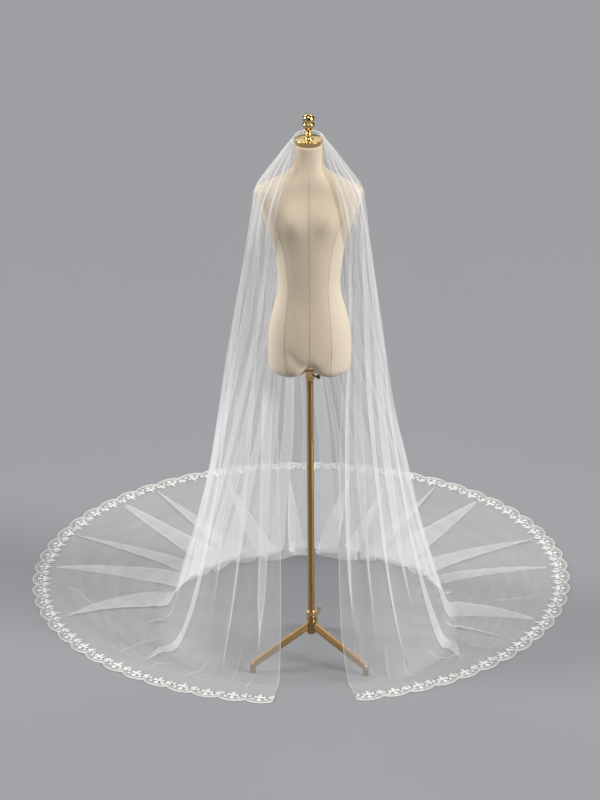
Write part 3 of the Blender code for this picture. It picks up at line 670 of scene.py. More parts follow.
def fold_pattern(places, heights, floor, lengths):
    """The laid folds: their push outwards in metres, their slide along the cloth as a share of its
    length, and how near each point is to a crease."""
    rise = np.zeros((len(heights), len(places)))
    slide = np.zeros_like(rise)
    crease = np.zeros_like(rise)
    levels = np.array(FOLD_HEIGHT)
    lying = eased(floor / 0.10)
    stand = np.interp(heights, levels[:, 0], levels[:, 1]) * (1 - lying) + FLOOR_FOLD_HEIGHT * lying
    sways = dict(FOOT_SWAY)
    for number, (place, end, half, lean, crown, shoulder, knee, foot, reach) in enumerate(FOLDS):
        low = knee + (foot - knee) * np.clip(1 - heights / 0.83, 0, 1) ** 2.2
        high = np.interp(heights, (0.83, 1.60, 1.80, 1.885), (knee, shoulder, crown, 0.4 * crown))
        width = np.where(heights < 0.83, low, high)
        width = width * (1 + 0.10 * np.sin(heights * 7 + 2.1 * number))
        width = np.where(floor > 0, foot * np.clip(1 - floor / reach, 0, 1) ** 0.9, width) / 1000
        doubled = width / 2 / (half * lengths)
        if foot:
            past = np.clip(1 - (floor - reach) / 0.16, 0, 1)
            steep = np.where(floor > reach, past, steepness_for(doubled))
        else:
            steep = steepness_for(doubled) * eased(heights / reach)
        middle = place + (end - place) * np.clip(floor / reach, 0, 1.0)
        wander = 0.0012 * np.sin(heights * 4.3 + 1.9 * number) * eased((1.8 - heights) / 0.5)
        middle = middle + wander * (floor == 0)
        swing = np.exp(-((heights / 0.13) ** 2)) * (1 - eased(floor / reach))
        middle = middle + sways.get(place, 0.0) * swing
        share = np.clip((places[None, :] - middle[:, None]) / half, -1, 1)
        grade = steep[:, None]
        slide -= half * grade / math.pi * np.sin(math.pi * share)
        slope = np.exp(-(((share * lean + 0.44) / 0.42) ** 2)) * np.cos(math.pi * share / 2) ** 0.5
        depth = stand * eased(width / 0.006 + 0.25) * np.clip(steep, 0, 1)
        rise += depth[:, None] * slope
        turn = np.arccos(1 / np.maximum(grade, 1.0001)) / math.pi
        slant = half * lengths[:, None] * grade * math.pi * np.sin(math.pi * turn)
        spread = np.clip(np.sqrt(0.0044 / (slant + 1e-4)), 0.05, 0.30)
        near = np.exp(-(((np.abs(share) - turn) / spread) ** 2))
        fading = eased((grade - 0.35) / 0.75) * np.clip(0.25 + width[:, None] / 0.007, 0, 1)
        crease = np.maximum(crease, near * fading * (0.72 + 0.28 * math.sin(2.3 * number + 1)))
    return rise - 0.38 * stand[:, None] * (1 - lying[:, None]), slide, crease


def fine_gathers(places, heights):
    """Small uneven gathers that start at the heading and die out over the shoulders, and slack
    waves further down."""
    rise = np.zeros((len(heights), len(places)))
    for count, low, high, outward in GATHERS:
        uneven = places + 0.004 * np.sin(places * 41 + count)
        uneven = uneven + 0.0026 * np.sin(places * 97 + 2 * count)
        strength = eased((heights - low) / (high - low))[:, None]
        strength = strength * (0.65 + 0.35 * np.sin(places * 23 + count))
        wander = 0.25 * np.sin(heights * 6 + count)[:, None]
        turn = math.tau * count * uneven[None, :] + wander
        ends = eased(np.minimum(places, 1 - places) / 0.012)
        rise += outward * strength * np.cos(turn) * ends
    return rise


def puddling(places):
    """Where along the cloth its foot puddles on the floor: at the sides and the back, 0 to 1."""
    return eased((np.minimum(places, 1 - places) - PUDDLE_START) / 0.12)


def puddled_foot(places, heights, floor):
    """The uneven slack where the hanging cloth comes down to the floor."""
    near = np.exp(-((heights / 0.06) ** 2)) * np.exp(-((floor / 0.10) ** 2))
    wave = np.sin(places * 151 + 2.2 * np.sin(places * 31))
    wave = wave + 0.7 * np.sin(places * 283 + 3 * np.sin(places * 17))
    return near[:, None] * (wave * (0.002 + 0.012 * puddling(places)))[None, :]


def floor_ripples(places, floor):
    """Shallow ripples of the cloth that lies on the floor."""
    share = floor[:, None]
    line = places[None, :]
    ripple = np.sin(line * 61 + 9 * np.sin(share * 5) + 3 * share)
    ripple = ripple + 0.8 * np.sin(line * 137 - 14 * share + 2.0 * np.sin(line * 19))
    ripple = ripple + 0.7 * np.sin(share * 38 + 7 * np.sin(line * 33) + line * 24)
    ripple = ripple + 0.5 * np.sin(share * 71 + 9 * np.sin(line * 27 + 1.0))
    window = eased(share / 0.12) * (1 - 0.7 * eased((share - 0.85) / 0.2))
    return ripple / 3.0, window


def soft_tucks(base, places, lengths):
    """Short soft creases where the front panels turn onto the floor, 0 to 1."""
    steps = np.linalg.norm(np.diff(base[::-1], axis=0), axis=2)
    from_rim = np.vstack([np.zeros(base.shape[1]), np.cumsum(steps, axis=0)])[::-1, :, None]
    from_rim = at_places(from_rim, np.broadcast_to(places, (len(base), len(places))))[:, :, 0]
    tucks = np.zeros_like(from_rim)
    for place, end, low, high, width in TUCKS:
        share = np.clip((from_rim - low) / (high - low), 0, 1)
        middle = place + (end - place) * share + 0.0012 * np.sin(share * 5)
        off = (places[None, :] - middle) * lengths[:, None] / width
        tucks = np.maximum(tucks, np.exp(-(off**2)) * np.sin(math.pi * share) ** 0.8)
    return tucks


def cloth_columns():
    """Places of the mesh's columns, closer together where the cloth folds."""
    grid = np.linspace(0, 1, 4001)
    weight = np.full(grid.shape, 1.0)
    for place, _, half, *_ in FOLDS:
        weight = np.maximum(weight, 1.9 * (np.abs(grid - place) < 0.85 * half))
    edge = np.minimum(grid, 1 - grid) < 0.004
    weight = np.where(edge, 3.0, weight)
    total = np.concatenate([[0], np.cumsum((weight[1:] + weight[:-1]) / 2)])
    return np.interp(np.linspace(0, total[-1], CLOTH_COLUMNS), total, grid)


def at_places(rows, places):
    """Each row's points at its own places."""
    grid = np.linspace(0, 1, rows.shape[1])
    out = np.empty((rows.shape[0], places.shape[1], rows.shape[2]))
    for r in range(rows.shape[0]):
        for i in range(rows.shape[2]):
            out[r, :, i] = np.interp(places[r], grid, rows[r, :, i])
    return out


def build_veil(tulle):
    """The tulle panel: one sheet from the heading to the scalloped rim."""
    base, heights, floor, angles = cloth_base()
    outward = unit(np.cross(np.gradient(base, axis=1), np.gradient(base, axis=0)))
    lengths = np.linalg.norm(np.diff(base, axis=1), axis=2).sum(axis=1)
    places = cloth_columns()
    rise, slide, crease = fold_pattern(places, heights, floor, lengths)
    rise += fine_gathers(places, heights) + puddled_foot(places, heights, floor)
    ripple, window = floor_ripples(places, floor)
    moved = np.clip(places[None, :] + slide, 0, 1)
    points = at_places(base, moved)
    normals = at_places(outward, moved)
    points += normals * rise[:, :, None]
    tucks = soft_tucks(base, places, lengths)
    points += normals * (0.0035 * tucks * (floor < 0.02)[:, None])[:, :, None]
    points[:, :, 2] += 0.0014 * (1 + ripple) * window + 0.003 * tucks * (floor > 0.02)[:, None]
    points[:, :, 2] = np.maximum(points[:, :, 2], LOWEST_Z)
    keep_off_form(points)

    from_edge = np.minimum(places, 1 - places)[None, :] * lengths[:, None]
    edge = np.exp(-((from_edge / 0.0022) ** 2))
    hanging = eased(heights / 0.10)[:, None]
    gathered = eased((heights - 1.60) / 0.26)[:, None]
    streaks = np.sin(places * 530 + 3 * np.sin(places * 47)) + np.sin(places * 291 + 1)
    streaks = streaks[None, :] * eased((heights - 0.05) / 0.6)[:, None]
    puddle = (np.exp(-((heights / 0.03) ** 2)) * np.exp(-((floor / 0.07) ** 2)))[:, None]
    puddle = puddle * puddling(places)[None, :]
    under_lace = eased((floor - 1.15) / 0.5)[:, None]
    cover = NET_COVER + COVER_HANGING * hanging + COVER_GATHERED * gathered
    cover = cover + COVER_STREAKS * streaks + COVER_RIPPLES * ripple * window
    cover = cover + (COVER_CREASE + COVER_HANGING_CREASE * hanging) * crease + COVER_EDGE * edge
    cover = cover + COVER_PUDDLE * puddle + COVER_TUCK * tucks
    cover = cover + (COVER_UNDER_LACE - cover) * under_lace
    cover = np.clip(cover, 0.05, 0.95)

    obj = add_grid("veil_tulle", points, tulle)
    set_value(obj, "net_cover", cover)
    steps = np.linalg.norm(np.diff(base[:, ::200], axis=0), axis=2).mean(axis=1)
    down = FAN_START + np.concatenate([[0], np.cumsum(steps)])
    turn = (places - 0.5) * FAN_ANGLE
    set_cloth_map(obj, down[:, None] * np.sin(turn)[None, :], down[:, None] * np.cos(turn)[None, :])
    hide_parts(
        "tulle_crown",
        "tulle_left_fall",
        "tulle_back_fall",
        "tulle_right_fall",
        "train_left",
        "train_back",
        "train_right",
    )
    return obj, points[0], (angles[0], angles[-1])


def keep_off_form(points):
    """Moves points that would touch the form out to just clear of it."""
    x, y, z = points[..., 0] - POLE_X, points[..., 1] - POLE_Y, points[..., 2]
    near = z > FORM[-1][0]
    angle = np.arctan2(y[near], x[near])
    level = np.minimum(z[near], NECK_TOP_Z)
    form_x, form_y = form_point(level, angle)
    least = np.maximum(np.hypot(form_x, form_y), form_reach(level, angle)) + FORM_CLEARANCE
    reach = np.hypot(x[near], y[near])
    push = np.maximum(1.0, least / reach)
    points[near, 0] = POLE_X + x[near] * push
    points[near, 1] = POLE_Y + y[near] * push


def build_heading(top, material):
    """The gathered heading: a narrow band of tight gathers along the veil's top edge."""
    count, around = HEADING_COLUMNS, HEADING_SIDES
    shares = np.linspace(0, 1, count)
    line = along(top, shares)
    line[:, 2] = top_height(shares) + FLOOR_LIFT
    ahead = unit(np.gradient(line, axis=0))
    side = unit(np.cross(ahead, (0, 0, 1.0)))
    up = np.cross(side, ahead)
    steps = np.arange(count)
    gather = 0.5 + 0.5 * np.sin(steps * math.tau * HEADING_GATHERS / count + np.sin(steps * 0.11))
    radius = (HEADING_RADIUS * (1 + gather))[:, None]
    points = []
    for turn in math.tau * np.arange(around) / around:
        points.append(line + side * math.cos(turn) * radius + up * math.sin(turn) * 1.25 * radius)
    rings = np.array(points).transpose(1, 0, 2)
    obj = add_grid("gathered_top_band", rings, material, closed=True, capped=True)
    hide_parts("gathered_heading")
    return obj


# ---------------------------------------------------------------- lace


def cord(points, width, height):
    """A raised cord along flat points."""
    points = np.array(points, float)
    ahead = unit(np.gradient(points, axis=0))
    side = np.stack([-ahead[:, 1], ahead[:, 0]], axis=1) * width / 2
    low = np.zeros((len(points), 1))
    rows = np.stack([
        np.hstack([points + side, low]),
        np.hstack([points, low + height]),
        np.hstack([points - side, low]),
    ])
    return rows.reshape(-1, 3), [tuple(f) for f in grid_faces(3, len(points))]


# A leaf's points as shares of its length, width and height: its outline, then its rib.
LEAF_POINTS = (
    # ahead, across, up
    (0, 0, 0), (0.30, 0.5, 0), (0.62, 0.42, 0), (1, 0, 0), (0.62, -0.42, 0), (0.30, -0.5, 0),
    (0.30, 0, 1), (0.65, 0, 0.85),
)
LEAF_FACES = ((0, 6, 1), (1, 6, 7, 2), (2, 7, 3), (3, 7, 4), (4, 7, 6, 5), (5, 6, 0))


def leaf(base, degrees, length, width, height=1.1):
    """A pointed leaf with a raised rib, its tip away from its base."""
    turn = math.radians(degrees)
    ahead = np.array([math.cos(turn), math.sin(turn)])
    side = np.array([-math.sin(turn), math.cos(turn)])
    points = [
        (*(np.array(base) + ahead * along_it * length + side * across * width), up * height)
        for along_it, across, up in LEAF_POINTS
    ]
    return np.array(points), LEAF_FACES


def dot(centre, radius, height=1.0):
    """A small raised knot."""
    ring = [(centre[0] + radius * math.cos(a), centre[1] + radius * math.sin(a), 0.0)
            for a in np.arange(6) * math.tau / 6]
    return np.array([*ring, (*centre, height)]), [(i, (i + 1) % 6, 6) for i in range(6)]


def flower(centre, radius, petals, degrees):
    """A rosette of rounded petals round a knot."""
    parts = [
        leaf(np.array(centre) + 0.15 * radius * np.array([math.cos(a), math.sin(a)]),
             math.degrees(a), radius, radius * 0.78, 1.3)
        for a in np.arange(petals) * math.tau / petals + math.radians(degrees)
    ]
    return parts + [dot(centre, radius * 0.26, 1.9)]


def lace_motif():
    """One scallop of the lace, flat, in millimetres: along the hem, inwards from the rim's circle,
    and up. Cords and knots follow the scallop, and flowers and pointed leaves stand on them."""
    width = 1000 * math.tau * HEM_RADIUS * 0.953 / SCALLOPS
    shares = np.linspace(0, 1, 25)
    rim = 1000 * SCALLOP_RISE * (1 - np.sin(math.pi * shares) ** 0.6)
    x = shares * width
    middle = width / 2
    parts = [
        cord(np.stack([x, rim + 1.0], axis=1), 1.9, 1.4),
        cord(np.stack([x, rim + 7.4], axis=1), 1.5, 1.1),
        cord(np.stack([x, rim + 16 + 2.0 * np.cos(math.tau * 3 * shares)], axis=1), 1.2, 0.9),
        cord(np.stack([x, rim + 21 + 2.6 * np.sin(math.tau * 2 * shares)], axis=1), 0.9, 0.8),
    ]
    for i in range(18):
        share = (i + 0.5) / 18
        low = 1000 * SCALLOP_RISE * (1 - math.sin(math.pi * share) ** 0.6)
        parts.append(dot((share * width, low - 0.3), 1.1, 1.0))
        parts.append(dot((share * width, low + 4.2), 0.95, 0.9))
        if i % 2:
            parts.append(dot((share * width, low + 11.5), 1.35, 1.0))
    parts += flower((middle, 24), 7.6, 6, 30)
    parts += flower((middle - 24, 28), 5.4, 5, 54)
    parts += flower((middle + 24, 28), 5.4, 5, 54)
    parts += flower((2.0, 36), 5.6, 5, 18)
    sprigs = (
        # x, start, leaves, first length, lean
        (middle, 33, 7, 13.0, 0),
        (middle - 13, 33, 4, 10.0, 14),
        (middle + 13, 33, 4, 10.0, -14),
        (middle - 34, 36, 4, 9.5, 10),
        (middle + 34, 36, 4, 9.5, -10),
        (2.0, 42, 4, 9.0, 0),
    )
    for foot, start, leaves, length, lean in sprigs:
        tilt = math.radians(90 + lean)
        for i in range(leaves):
            size = length * (1 - 0.09 * i)
            reach = 4.6 * i
            base = (foot + reach * math.cos(tilt), start + reach * math.sin(tilt))
            if i == leaves - 1:
                parts.append(leaf(base, 90 + lean, size * 0.95, size * 0.30))
            else:
                parts.append(leaf(base, 90 + lean + 52, size, size * 0.31))
                parts.append(leaf(base, 90 + lean - 52, size, size * 0.31))
        reach = 2.3 * leaves
        stem = [
            (foot, start - 6),
            (foot + reach * math.cos(tilt), start + reach),
            (foot + 2 * reach * math.cos(tilt), start + 2 * reach * math.sin(tilt)),
        ]
        parts.append(cord(stem, 1.2, 0.9))
    points, faces = joined(parts)
    points[:, 0] /= width
    return points, faces


def build_lace(bearings, material):
    """The lace edging in its three lengths, each scallop a little different from the next."""
    motif, motif_faces = lace_motif()
    first, last = bearings
    step = (last - first) / SCALLOPS
    pieces = []
    for name, start, end in (("left", 0, 20), ("back", 20, 39), ("right", 39, SCALLOPS)):
        parts = []
        for scallop in range(start, end):
            uneven = 1 + 0.05 * math.sin(scallop * 2.4) * np.clip(motif[:, 1] / 30, 0, 1)
            inward = motif[:, 1] / 1000 * uneven
            lean = 0.02 * math.sin(scallop * 1.7) * motif[:, 1] / 60
            angle = first + (scallop + motif[:, 0] + lean) * step
            radius = HEM_RADIUS - inward
            height = FLOOR_LIFT + 0.0009 + motif[:, 2] / 1000
            x, y = radius * np.cos(angle), HEM_Y + radius * np.sin(angle)
            parts.append((np.stack([x, y, height], axis=1), motif_faces))
        points, faces = joined(parts)
        obj = add_mesh(f"lace_edging_{name}", points, faces, material)
        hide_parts(f"lace_{name}")
        pieces.append(obj)
    return pieces


# ---------------------------------------------------------------- dress form


def form_reach(level, angle):
    """The form's distance from its axis, where angle 0 faces +X and 90 degrees the back."""
    rows = table_at(FORM, np.ravel(level))
    half, front, back = (rows[:, i].reshape(np.shape(level)) for i in (1, 2, 3))
    depth = np.where(np.sin(angle) > 0, back, front)
    across, straight = np.abs(np.cos(angle)) / half, np.abs(np.sin(angle)) / depth
    return (across**FORM_POWER + straight**FORM_POWER) ** (-1 / FORM_POWER)


def form_point(level, angle):
    """A point of the form's surface about its axis, with its bust."""
    reach = form_reach(level, angle)
    x, y = reach * np.cos(angle), reach * np.sin(angle)
    for side in (-1, 1):
        across = (x - side * BUST_X) / BUST_HALF_WIDTH
        up = (level - BUST_Z) / BUST_HALF_HEIGHT
        y = y - np.where(y < 0, BUST_RISE * np.exp(-(across**2) - up**2), 0)
    groove = GROOVE_DEPTH * np.exp(-((x / GROOVE_HALF_WIDTH) ** 2))
    groove = groove * eased((GROOVE_TOP_Z - level) / 0.10)
    y = y + np.where(np.abs(y) > 0.02, -np.sign(y) * groove, 0)
    rising = (level - GROIN_FOOT_Z) / (GROIN_TOP_Z - GROIN_FOOT_Z)
    across = np.abs(x) - GROIN_FOOT_X - (GROIN_TOP_X - GROIN_FOOT_X) * rising
    groin = GROIN_DEPTH * np.exp(-((across / GROIN_HALF_WIDTH) ** 2))
    groin = groin * eased(rising / 0.3 + 0.4) * eased((1.15 - rising) / 0.6)
    y = y + np.where(y < -0.02, groin, 0)
    return x, y


def form_surface(level, angle, out=0.0):
    """A point of the form in the frame, with the cut between its thighs, or out from there."""
    level, angle = np.broadcast_arrays(np.asarray(level, float), np.asarray(angle, float))
    x, y = form_point(level, angle)
    low, high = FORM[-1][0], FORM[-4][0]
    deeper = 1 + 0.5 * np.clip((np.abs(y) - 0.02) / 0.03, 0, 1)
    notch = THIGH_NOTCH * np.exp(-((x / THIGH_NOTCH_WIDTH) ** 2)) * deeper
    notch = notch * np.clip((high - level) / (high - low), 0, 1)
    grow = 1 + out / np.maximum(np.hypot(x, y), 0.001)
    return np.stack([POLE_X + x * grow, POLE_Y + y * grow, level + notch], axis=-1)


def seam_angle(level, side):
    """The bearing on the form's front where a shaped seam runs at a height."""
    rows = table_at(SHAPED_SEAMS, np.ravel(level))
    across = rows[:, 1 if side < 0 else 2]
    angles = np.linspace(-math.pi + 0.02, -0.02, 361)
    found = []
    for height, wanted in zip(np.ravel(level), across):
        x, _ = form_point(np.full(angles.shape, height), angles)
        found.append(np.interp(side * wanted, x, angles))
    return np.array(found)


def build_form(cover, thread):
    """The linen-covered torso and its seams."""
    top, bottom = FORM[0][0], FORM[-1][0]
    share = np.linspace(0, 1, FORM_ROWS)
    levels = top + (bottom - top) * share
    angles = math.tau * np.arange(FORM_COLUMNS) / FORM_COLUMNS
    grid = form_surface(levels[:, None], angles[None, :])
    rings = [grid]
    under = grid[-1]
    middle = np.array([POLE_X, POLE_Y, 0.0])
    for inward in (0.12, 0.35, 0.7):
        ring = under * (1 - inward) + middle * inward
        ring[:, 2] = under[:, 2] - 0.0035 * math.sin(math.pi * min(1, inward * 1.4))
        ring[:, 2] = np.maximum(ring[:, 2], bottom - 0.001)
        rings.append(ring[None])
    points = np.concatenate(rings)
    rows = len(points)
    flat_points = points.reshape(-1, 3)
    faces = [tuple(face) for face in grid_faces(rows, FORM_COLUMNS, closed=True)]
    crown, sole = len(flat_points), len(flat_points) + 1
    end = points[-1, :, 2].max()
    flat_points = np.vstack([flat_points, (POLE_X, POLE_Y, top), (POLE_X, POLE_Y, end)])
    for column in range(FORM_COLUMNS):
        after = (column + 1) % FORM_COLUMNS
        faces.append((crown, column, after))
        last = (rows - 1) * FORM_COLUMNS
        faces.append((sole, last + after, last + column))
    obj = add_mesh("form_cover", flat_points, faces, cover)

    left, right = seam_angle(levels, -1), seam_angle(levels, 1)
    offset = np.mod(angles + math.pi, math.tau) - math.pi
    # Painted highlight on the side panels: 1 outside the shaped seams in front, 0 between them, and
    # half on the back.
    painted_side_light = np.zeros((rows, FORM_COLUMNS))
    for row in range(FORM_ROWS):
        after_left = eased((offset - left[row]) / 0.05 + 0.5)
        before_right = eased((right[row] - offset) / 0.05 + 0.5)
        painted_side_light[row] = np.where(offset < 0, 1 - after_left * before_right, 0.5)
    painted_side_light[FORM_ROWS:] = painted_side_light[FORM_ROWS - 1]
    set_value(obj, "side_panel_painted_light", np.append(painted_side_light.ravel(), (0.0, 0.0)))
    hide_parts("form_torso")

    down = np.linspace(1.762, bottom + 0.004, 120)
    shaped = np.linspace(SHAPED_SEAMS[0][0], bottom + 0.004, 110)
    lines = [
        (down, np.full(len(down), -math.pi / 2)),
        (down, np.full(len(down), math.pi / 2)),
        (shaped, seam_angle(shaped, -1)),
        (shaped, seam_angle(shaped, 1)),
        (shaped, -seam_angle(shaped, -1)),
        (shaped, -seam_angle(shaped, 1)),
    ]
    parts = []
    for heights, bearings in lines:
        line = form_surface(heights, bearings, 0.0003)
        parts.append(welt(line, 0.0013, 0.0004))
    points, faces = joined(parts)
    seams = add_mesh("form_seams", points, faces, thread)


def welt(line, width, height):
    """A narrow raised seam along a line on the form."""
    middle = np.array([POLE_X, POLE_Y, 0.0])
    out = unit((line - middle) * (1, 1, 0))
    side = unit(np.cross(unit(np.gradient(line, axis=0)), out))
    rows = np.stack([line + side * width / 2, line + out * height, line - side * width / 2])
    return rows.reshape(-1, 3), [tuple(f) for f in grid_faces(3, len(line))]


# ---------------------------------------------------------------- stand


def smooth_profile(profile, steps=5):
    """A rounder outline through an outline's points."""
    points = np.array(profile)
    before, after = np.vstack([points[:1], points[:-1]]), np.vstack([points[1:], points[-1:]])
    slopes = (after - before) / 2
    out = []
    for i in range(len(points) - 1):
        for share in np.arange(steps) / steps:
            out.append(blended(points[i], slopes[i], points[i + 1], slopes[i + 1], share))
    out.append(points[-1])
    return np.maximum(np.array(out), (0.0, -1.0))


def turned(node, profile, material, z=0.0, segments=72):
    """A turned gold piece round the pole's axis: its outline swept round, from the top down."""
    rings = swept(profile, segments) + (POLE_X, POLE_Y, z)
    obj = add_grid(f"{node}_gold", rings, material, closed=True)
    mark_sharp(obj, 38)
    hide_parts(node)


def swept(profile, segments):
    """An outline of radii and heights, swept round the z axis."""
    radius, height = np.array(profile).T[:, :, None]
    angles = math.tau * np.arange(segments) / segments
    rings = (radius * np.cos(angles), radius * np.sin(angles), height + 0 * angles)
    return np.stack(rings, axis=-1)


def box_size(node):
    """The radius of a round piece's box, and its foot's and top's heights."""
    low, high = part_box(node)
    return (high.x - low.x) / 2, low.z, high.z


def mark_sharp(obj, degrees):
    """Keeps edges crisp where faces meet at more than an angle."""
    obj.data.set_sharp_from_angle(angle=math.radians(degrees))


def rod(radius, bottom, top, edge):
    """The outline of a round bar with eased edges."""
    turns = np.linspace(0, math.pi / 2, 5)
    core = radius - edge
    upper = [(core + edge * math.sin(t), top - edge + edge * math.cos(t)) for t in turns]
    lower = [(core + edge * math.cos(t), bottom + edge - edge * math.sin(t)) for t in turns]
    return [(0.0, top), *upper, *lower, (0.0, bottom)]


def grooved_rod(radius, bottom, cut, top, groove):
    """A round bar's outline with a groove below a height: its depth, its width, the slope of its
    sides, and the eased edges of the bar above and below it."""
    depth, width, slope, upper_edge, lower_edge = groove
    middle = [(radius - depth, cut - slope), (radius - depth, cut - width + slope)]
    upper = rod(radius, cut, top, upper_edge)[:-1]
    return upper + middle + rod(radius, bottom, cut - width, lower_edge)[1:]


def build_stand(gold, pole_gold, leg_gold, dark):
    """The neck cap and finial, the pole with its fittings, and the tripod."""
    radius, low, high = box_size("neck_cap")
    height = high - low
    ring = ((0.0, 0), (0.36, 0), (0.37, 1), (0.40, 1), (0.41, 0))
    cap = [(radius * share, height - CAP_RING_DEPTH * sunk) for share, sunk in ring]
    turned("neck_cap", cap + rod(radius, 0.0, height, 0.0009)[1:], gold, low, 96)

    _, low, high = box_size("finial")
    turned("finial", smooth_profile(FINIAL), gold, low, 96)

    radius, low, high = box_size("form_collar")
    turned("form_collar", grooved_rod(radius, low, low + 0.010, high, COLLAR_GROOVE), gold)

    button_low, button_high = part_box("height_button")
    button_z = (button_low.z + button_high.z) / 2
    radius, low, high = box_size("pole")
    turned("pole", grooved_rod(radius, low, button_z - 0.012, high, POLE_GROOVE), pole_gold)

    reach = button_high.x - button_low.x
    button = [(0.0, reach), (0.0016, reach * 0.97), (0.0028, reach * 0.75), (0.0034, reach * 0.4)]
    button = smooth_profile(button + [(0.0036, 0.0006), (0.0036, 0.0), (0.0, 0.0)], 3)
    sideways = np.array(Matrix.Rotation(math.pi / 2, 3, "Y"))
    rings = swept(button, 32) @ sideways.T + (button_low.x, POLE_Y, button_z)
    obj = add_grid("height_button_gold", rings, gold, closed=True)
    mark_sharp(obj, 38)
    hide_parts("height_button")

    radius, low, high = box_size("clamp_ring")
    half = (high - low) / 2
    ring = []
    for turn in math.pi * np.arange(25) / 24:
        swell = RING_BORE + (radius - RING_BORE) * math.sin(turn) ** 0.5
        swell -= 0.0011 * math.exp(-(((turn - math.pi / 2) / 0.16) ** 2))
        ring.append((swell, half * (1 + math.cos(turn))))
    turned("clamp_ring", ring + ring[:1], gold, low)

    radius, low, high = box_size("tripod_hub")
    turned("tripod_hub", grooved_rod(radius, low, high - 0.014, high, HUB_GROOVE), pole_gold)
    for number, degrees in enumerate(LEG_ANGLES, 1):
        build_leg(number, math.radians(degrees), leg_gold)
    build_lever(gold)
    build_thumb_screw(dark)


def bend(start, corner, end, radius, steps):
    """Points of a round bend that replaces a sharp corner."""
    start, corner, end = (np.array(point) for point in (start, corner, end))
    before, after = unit(start - corner), unit(end - corner)
    reach = radius / math.tan(math.acos(float(before @ after)) / 2)
    points = []
    for share in np.linspace(0, 1, steps):
        a, b = corner + before * reach * (1 - share), corner + after * reach * share
        points.append(a * (1 - share) + b * share)
    return points


def sloping(start, end, until):
    """Points of a straight line from its start until short of its end."""
    shares = np.linspace(0, until, 12)[:-1]
    return [np.array(start) * (1 - share) + np.array(end) * share for share in shares]


def build_leg(number, turn, material):
    """A tripod leg: a ribbed bar that slopes out from the hub and bends down to its foot."""
    root, reach, heel = LEG_ROOT, LEG_REACH, LEG_HEEL
    top_root, under_root = (root, 0.1395), (root, 0.1149)
    knee_out, foot_out, foot_in, knee_in = (reach, 0.040), (reach, 0.0), (heel, 0.0), (heel, 0.0235)
    outer = sloping(top_root, knee_out, 0.90) + bend(top_root, knee_out, foot_out, 0.014, 9)
    outer += [np.array((reach, 0.012)), np.array(foot_out)]
    inner = sloping(under_root, knee_in, 0.93) + bend(under_root, knee_in, foot_in, 0.006, 9)
    inner += [np.array((heel, 0.010)), np.array(foot_in)]
    half = LEG_WIDTH / 2
    # Half of the bar's section: across as a share of its half-width, and inward from its top face.
    profile = (
        (0.00, 0.0000), (0.22, 0.0000), (0.30, 0.0009), (0.42, 0.0009), (0.50, 0.0000),
        (0.80, 0.0000), (0.95, 0.0006), (1.00, 0.0018),
    )
    upper = [(-a, d) for a, d in reversed(profile)] + list(profile)[1:]
    rows = []
    for top, under in zip(outer, inner):
        down = unit(under - top)
        row = [(top + down * depth, across * half) for across, depth in upper]
        row += [(under - down * 0.0018, half), (under - down * 0.0004, half * 0.88)]
        row += [(under - down * 0.0004, -half * 0.88), (under - down * 0.0018, -half)]
        rows.append([(p[0], across, p[1]) for p, across in row])
    placed = np.array(rows) @ np.array(Matrix.Rotation(turn, 3, "Z")).T + (POLE_X, POLE_Y, 0)
    obj = add_grid(f"leg_gold_{number}", placed, material, closed=True, capped=True)
    mark_sharp(obj, 32)
    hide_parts(f"leg_{number}")


def flat_bar(node, outline, width, place, material, body, bevel):
    """A flat outline in the xz plane, given a width along y and eased edges."""
    outline = np.array(outline)
    count = len(outline)
    points = [(x, side * width / 2, z) for side in (-1, 1) for x, z in outline]
    faces = [tuple(range(count)), tuple(range(count, 2 * count))[::-1]]
    faces += [(i, i + count, (i + 1) % count + count, (i + 1) % count) for i in range(count)]
    obj = add_mesh(f"{node}_gold", np.array(points) + np.array(place), faces, material, body)
    eased_edge = obj.modifiers.new("Eased edges", "BEVEL")
    eased_edge.width = bevel
    eased_edge.segments = 3
    eased_edge.limit_method = "ANGLE"
    mark_sharp(obj, 40)
    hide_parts(node)
    return obj


def build_lever(gold):
    """The clamp's lever with its flared tip, and the fork that carries it."""
    low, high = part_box("lever_fork")
    fork = [(low.x, low.z), (high.x, low.z), (high.x, high.z), (low.x, high.z)]
    flat_bar("lever_fork", fork, high.y - low.y, (0, POLE_Y, 0), gold, BODY, 0.0006)
    pivot = np.radians(np.arange(180, 361, 15))
    arm = [(PIVOT_R * math.cos(t), PIVOT_R * math.sin(t)) for t in pivot]
    arm += LEVER_ARM
    place = (POLE_X + LEVER_X, POLE_Y, LEVER_Z)
    flat_bar("clamp_lever", arm, LEVER_THICKNESS, place, gold, LEVER_BODY, 0.0009)


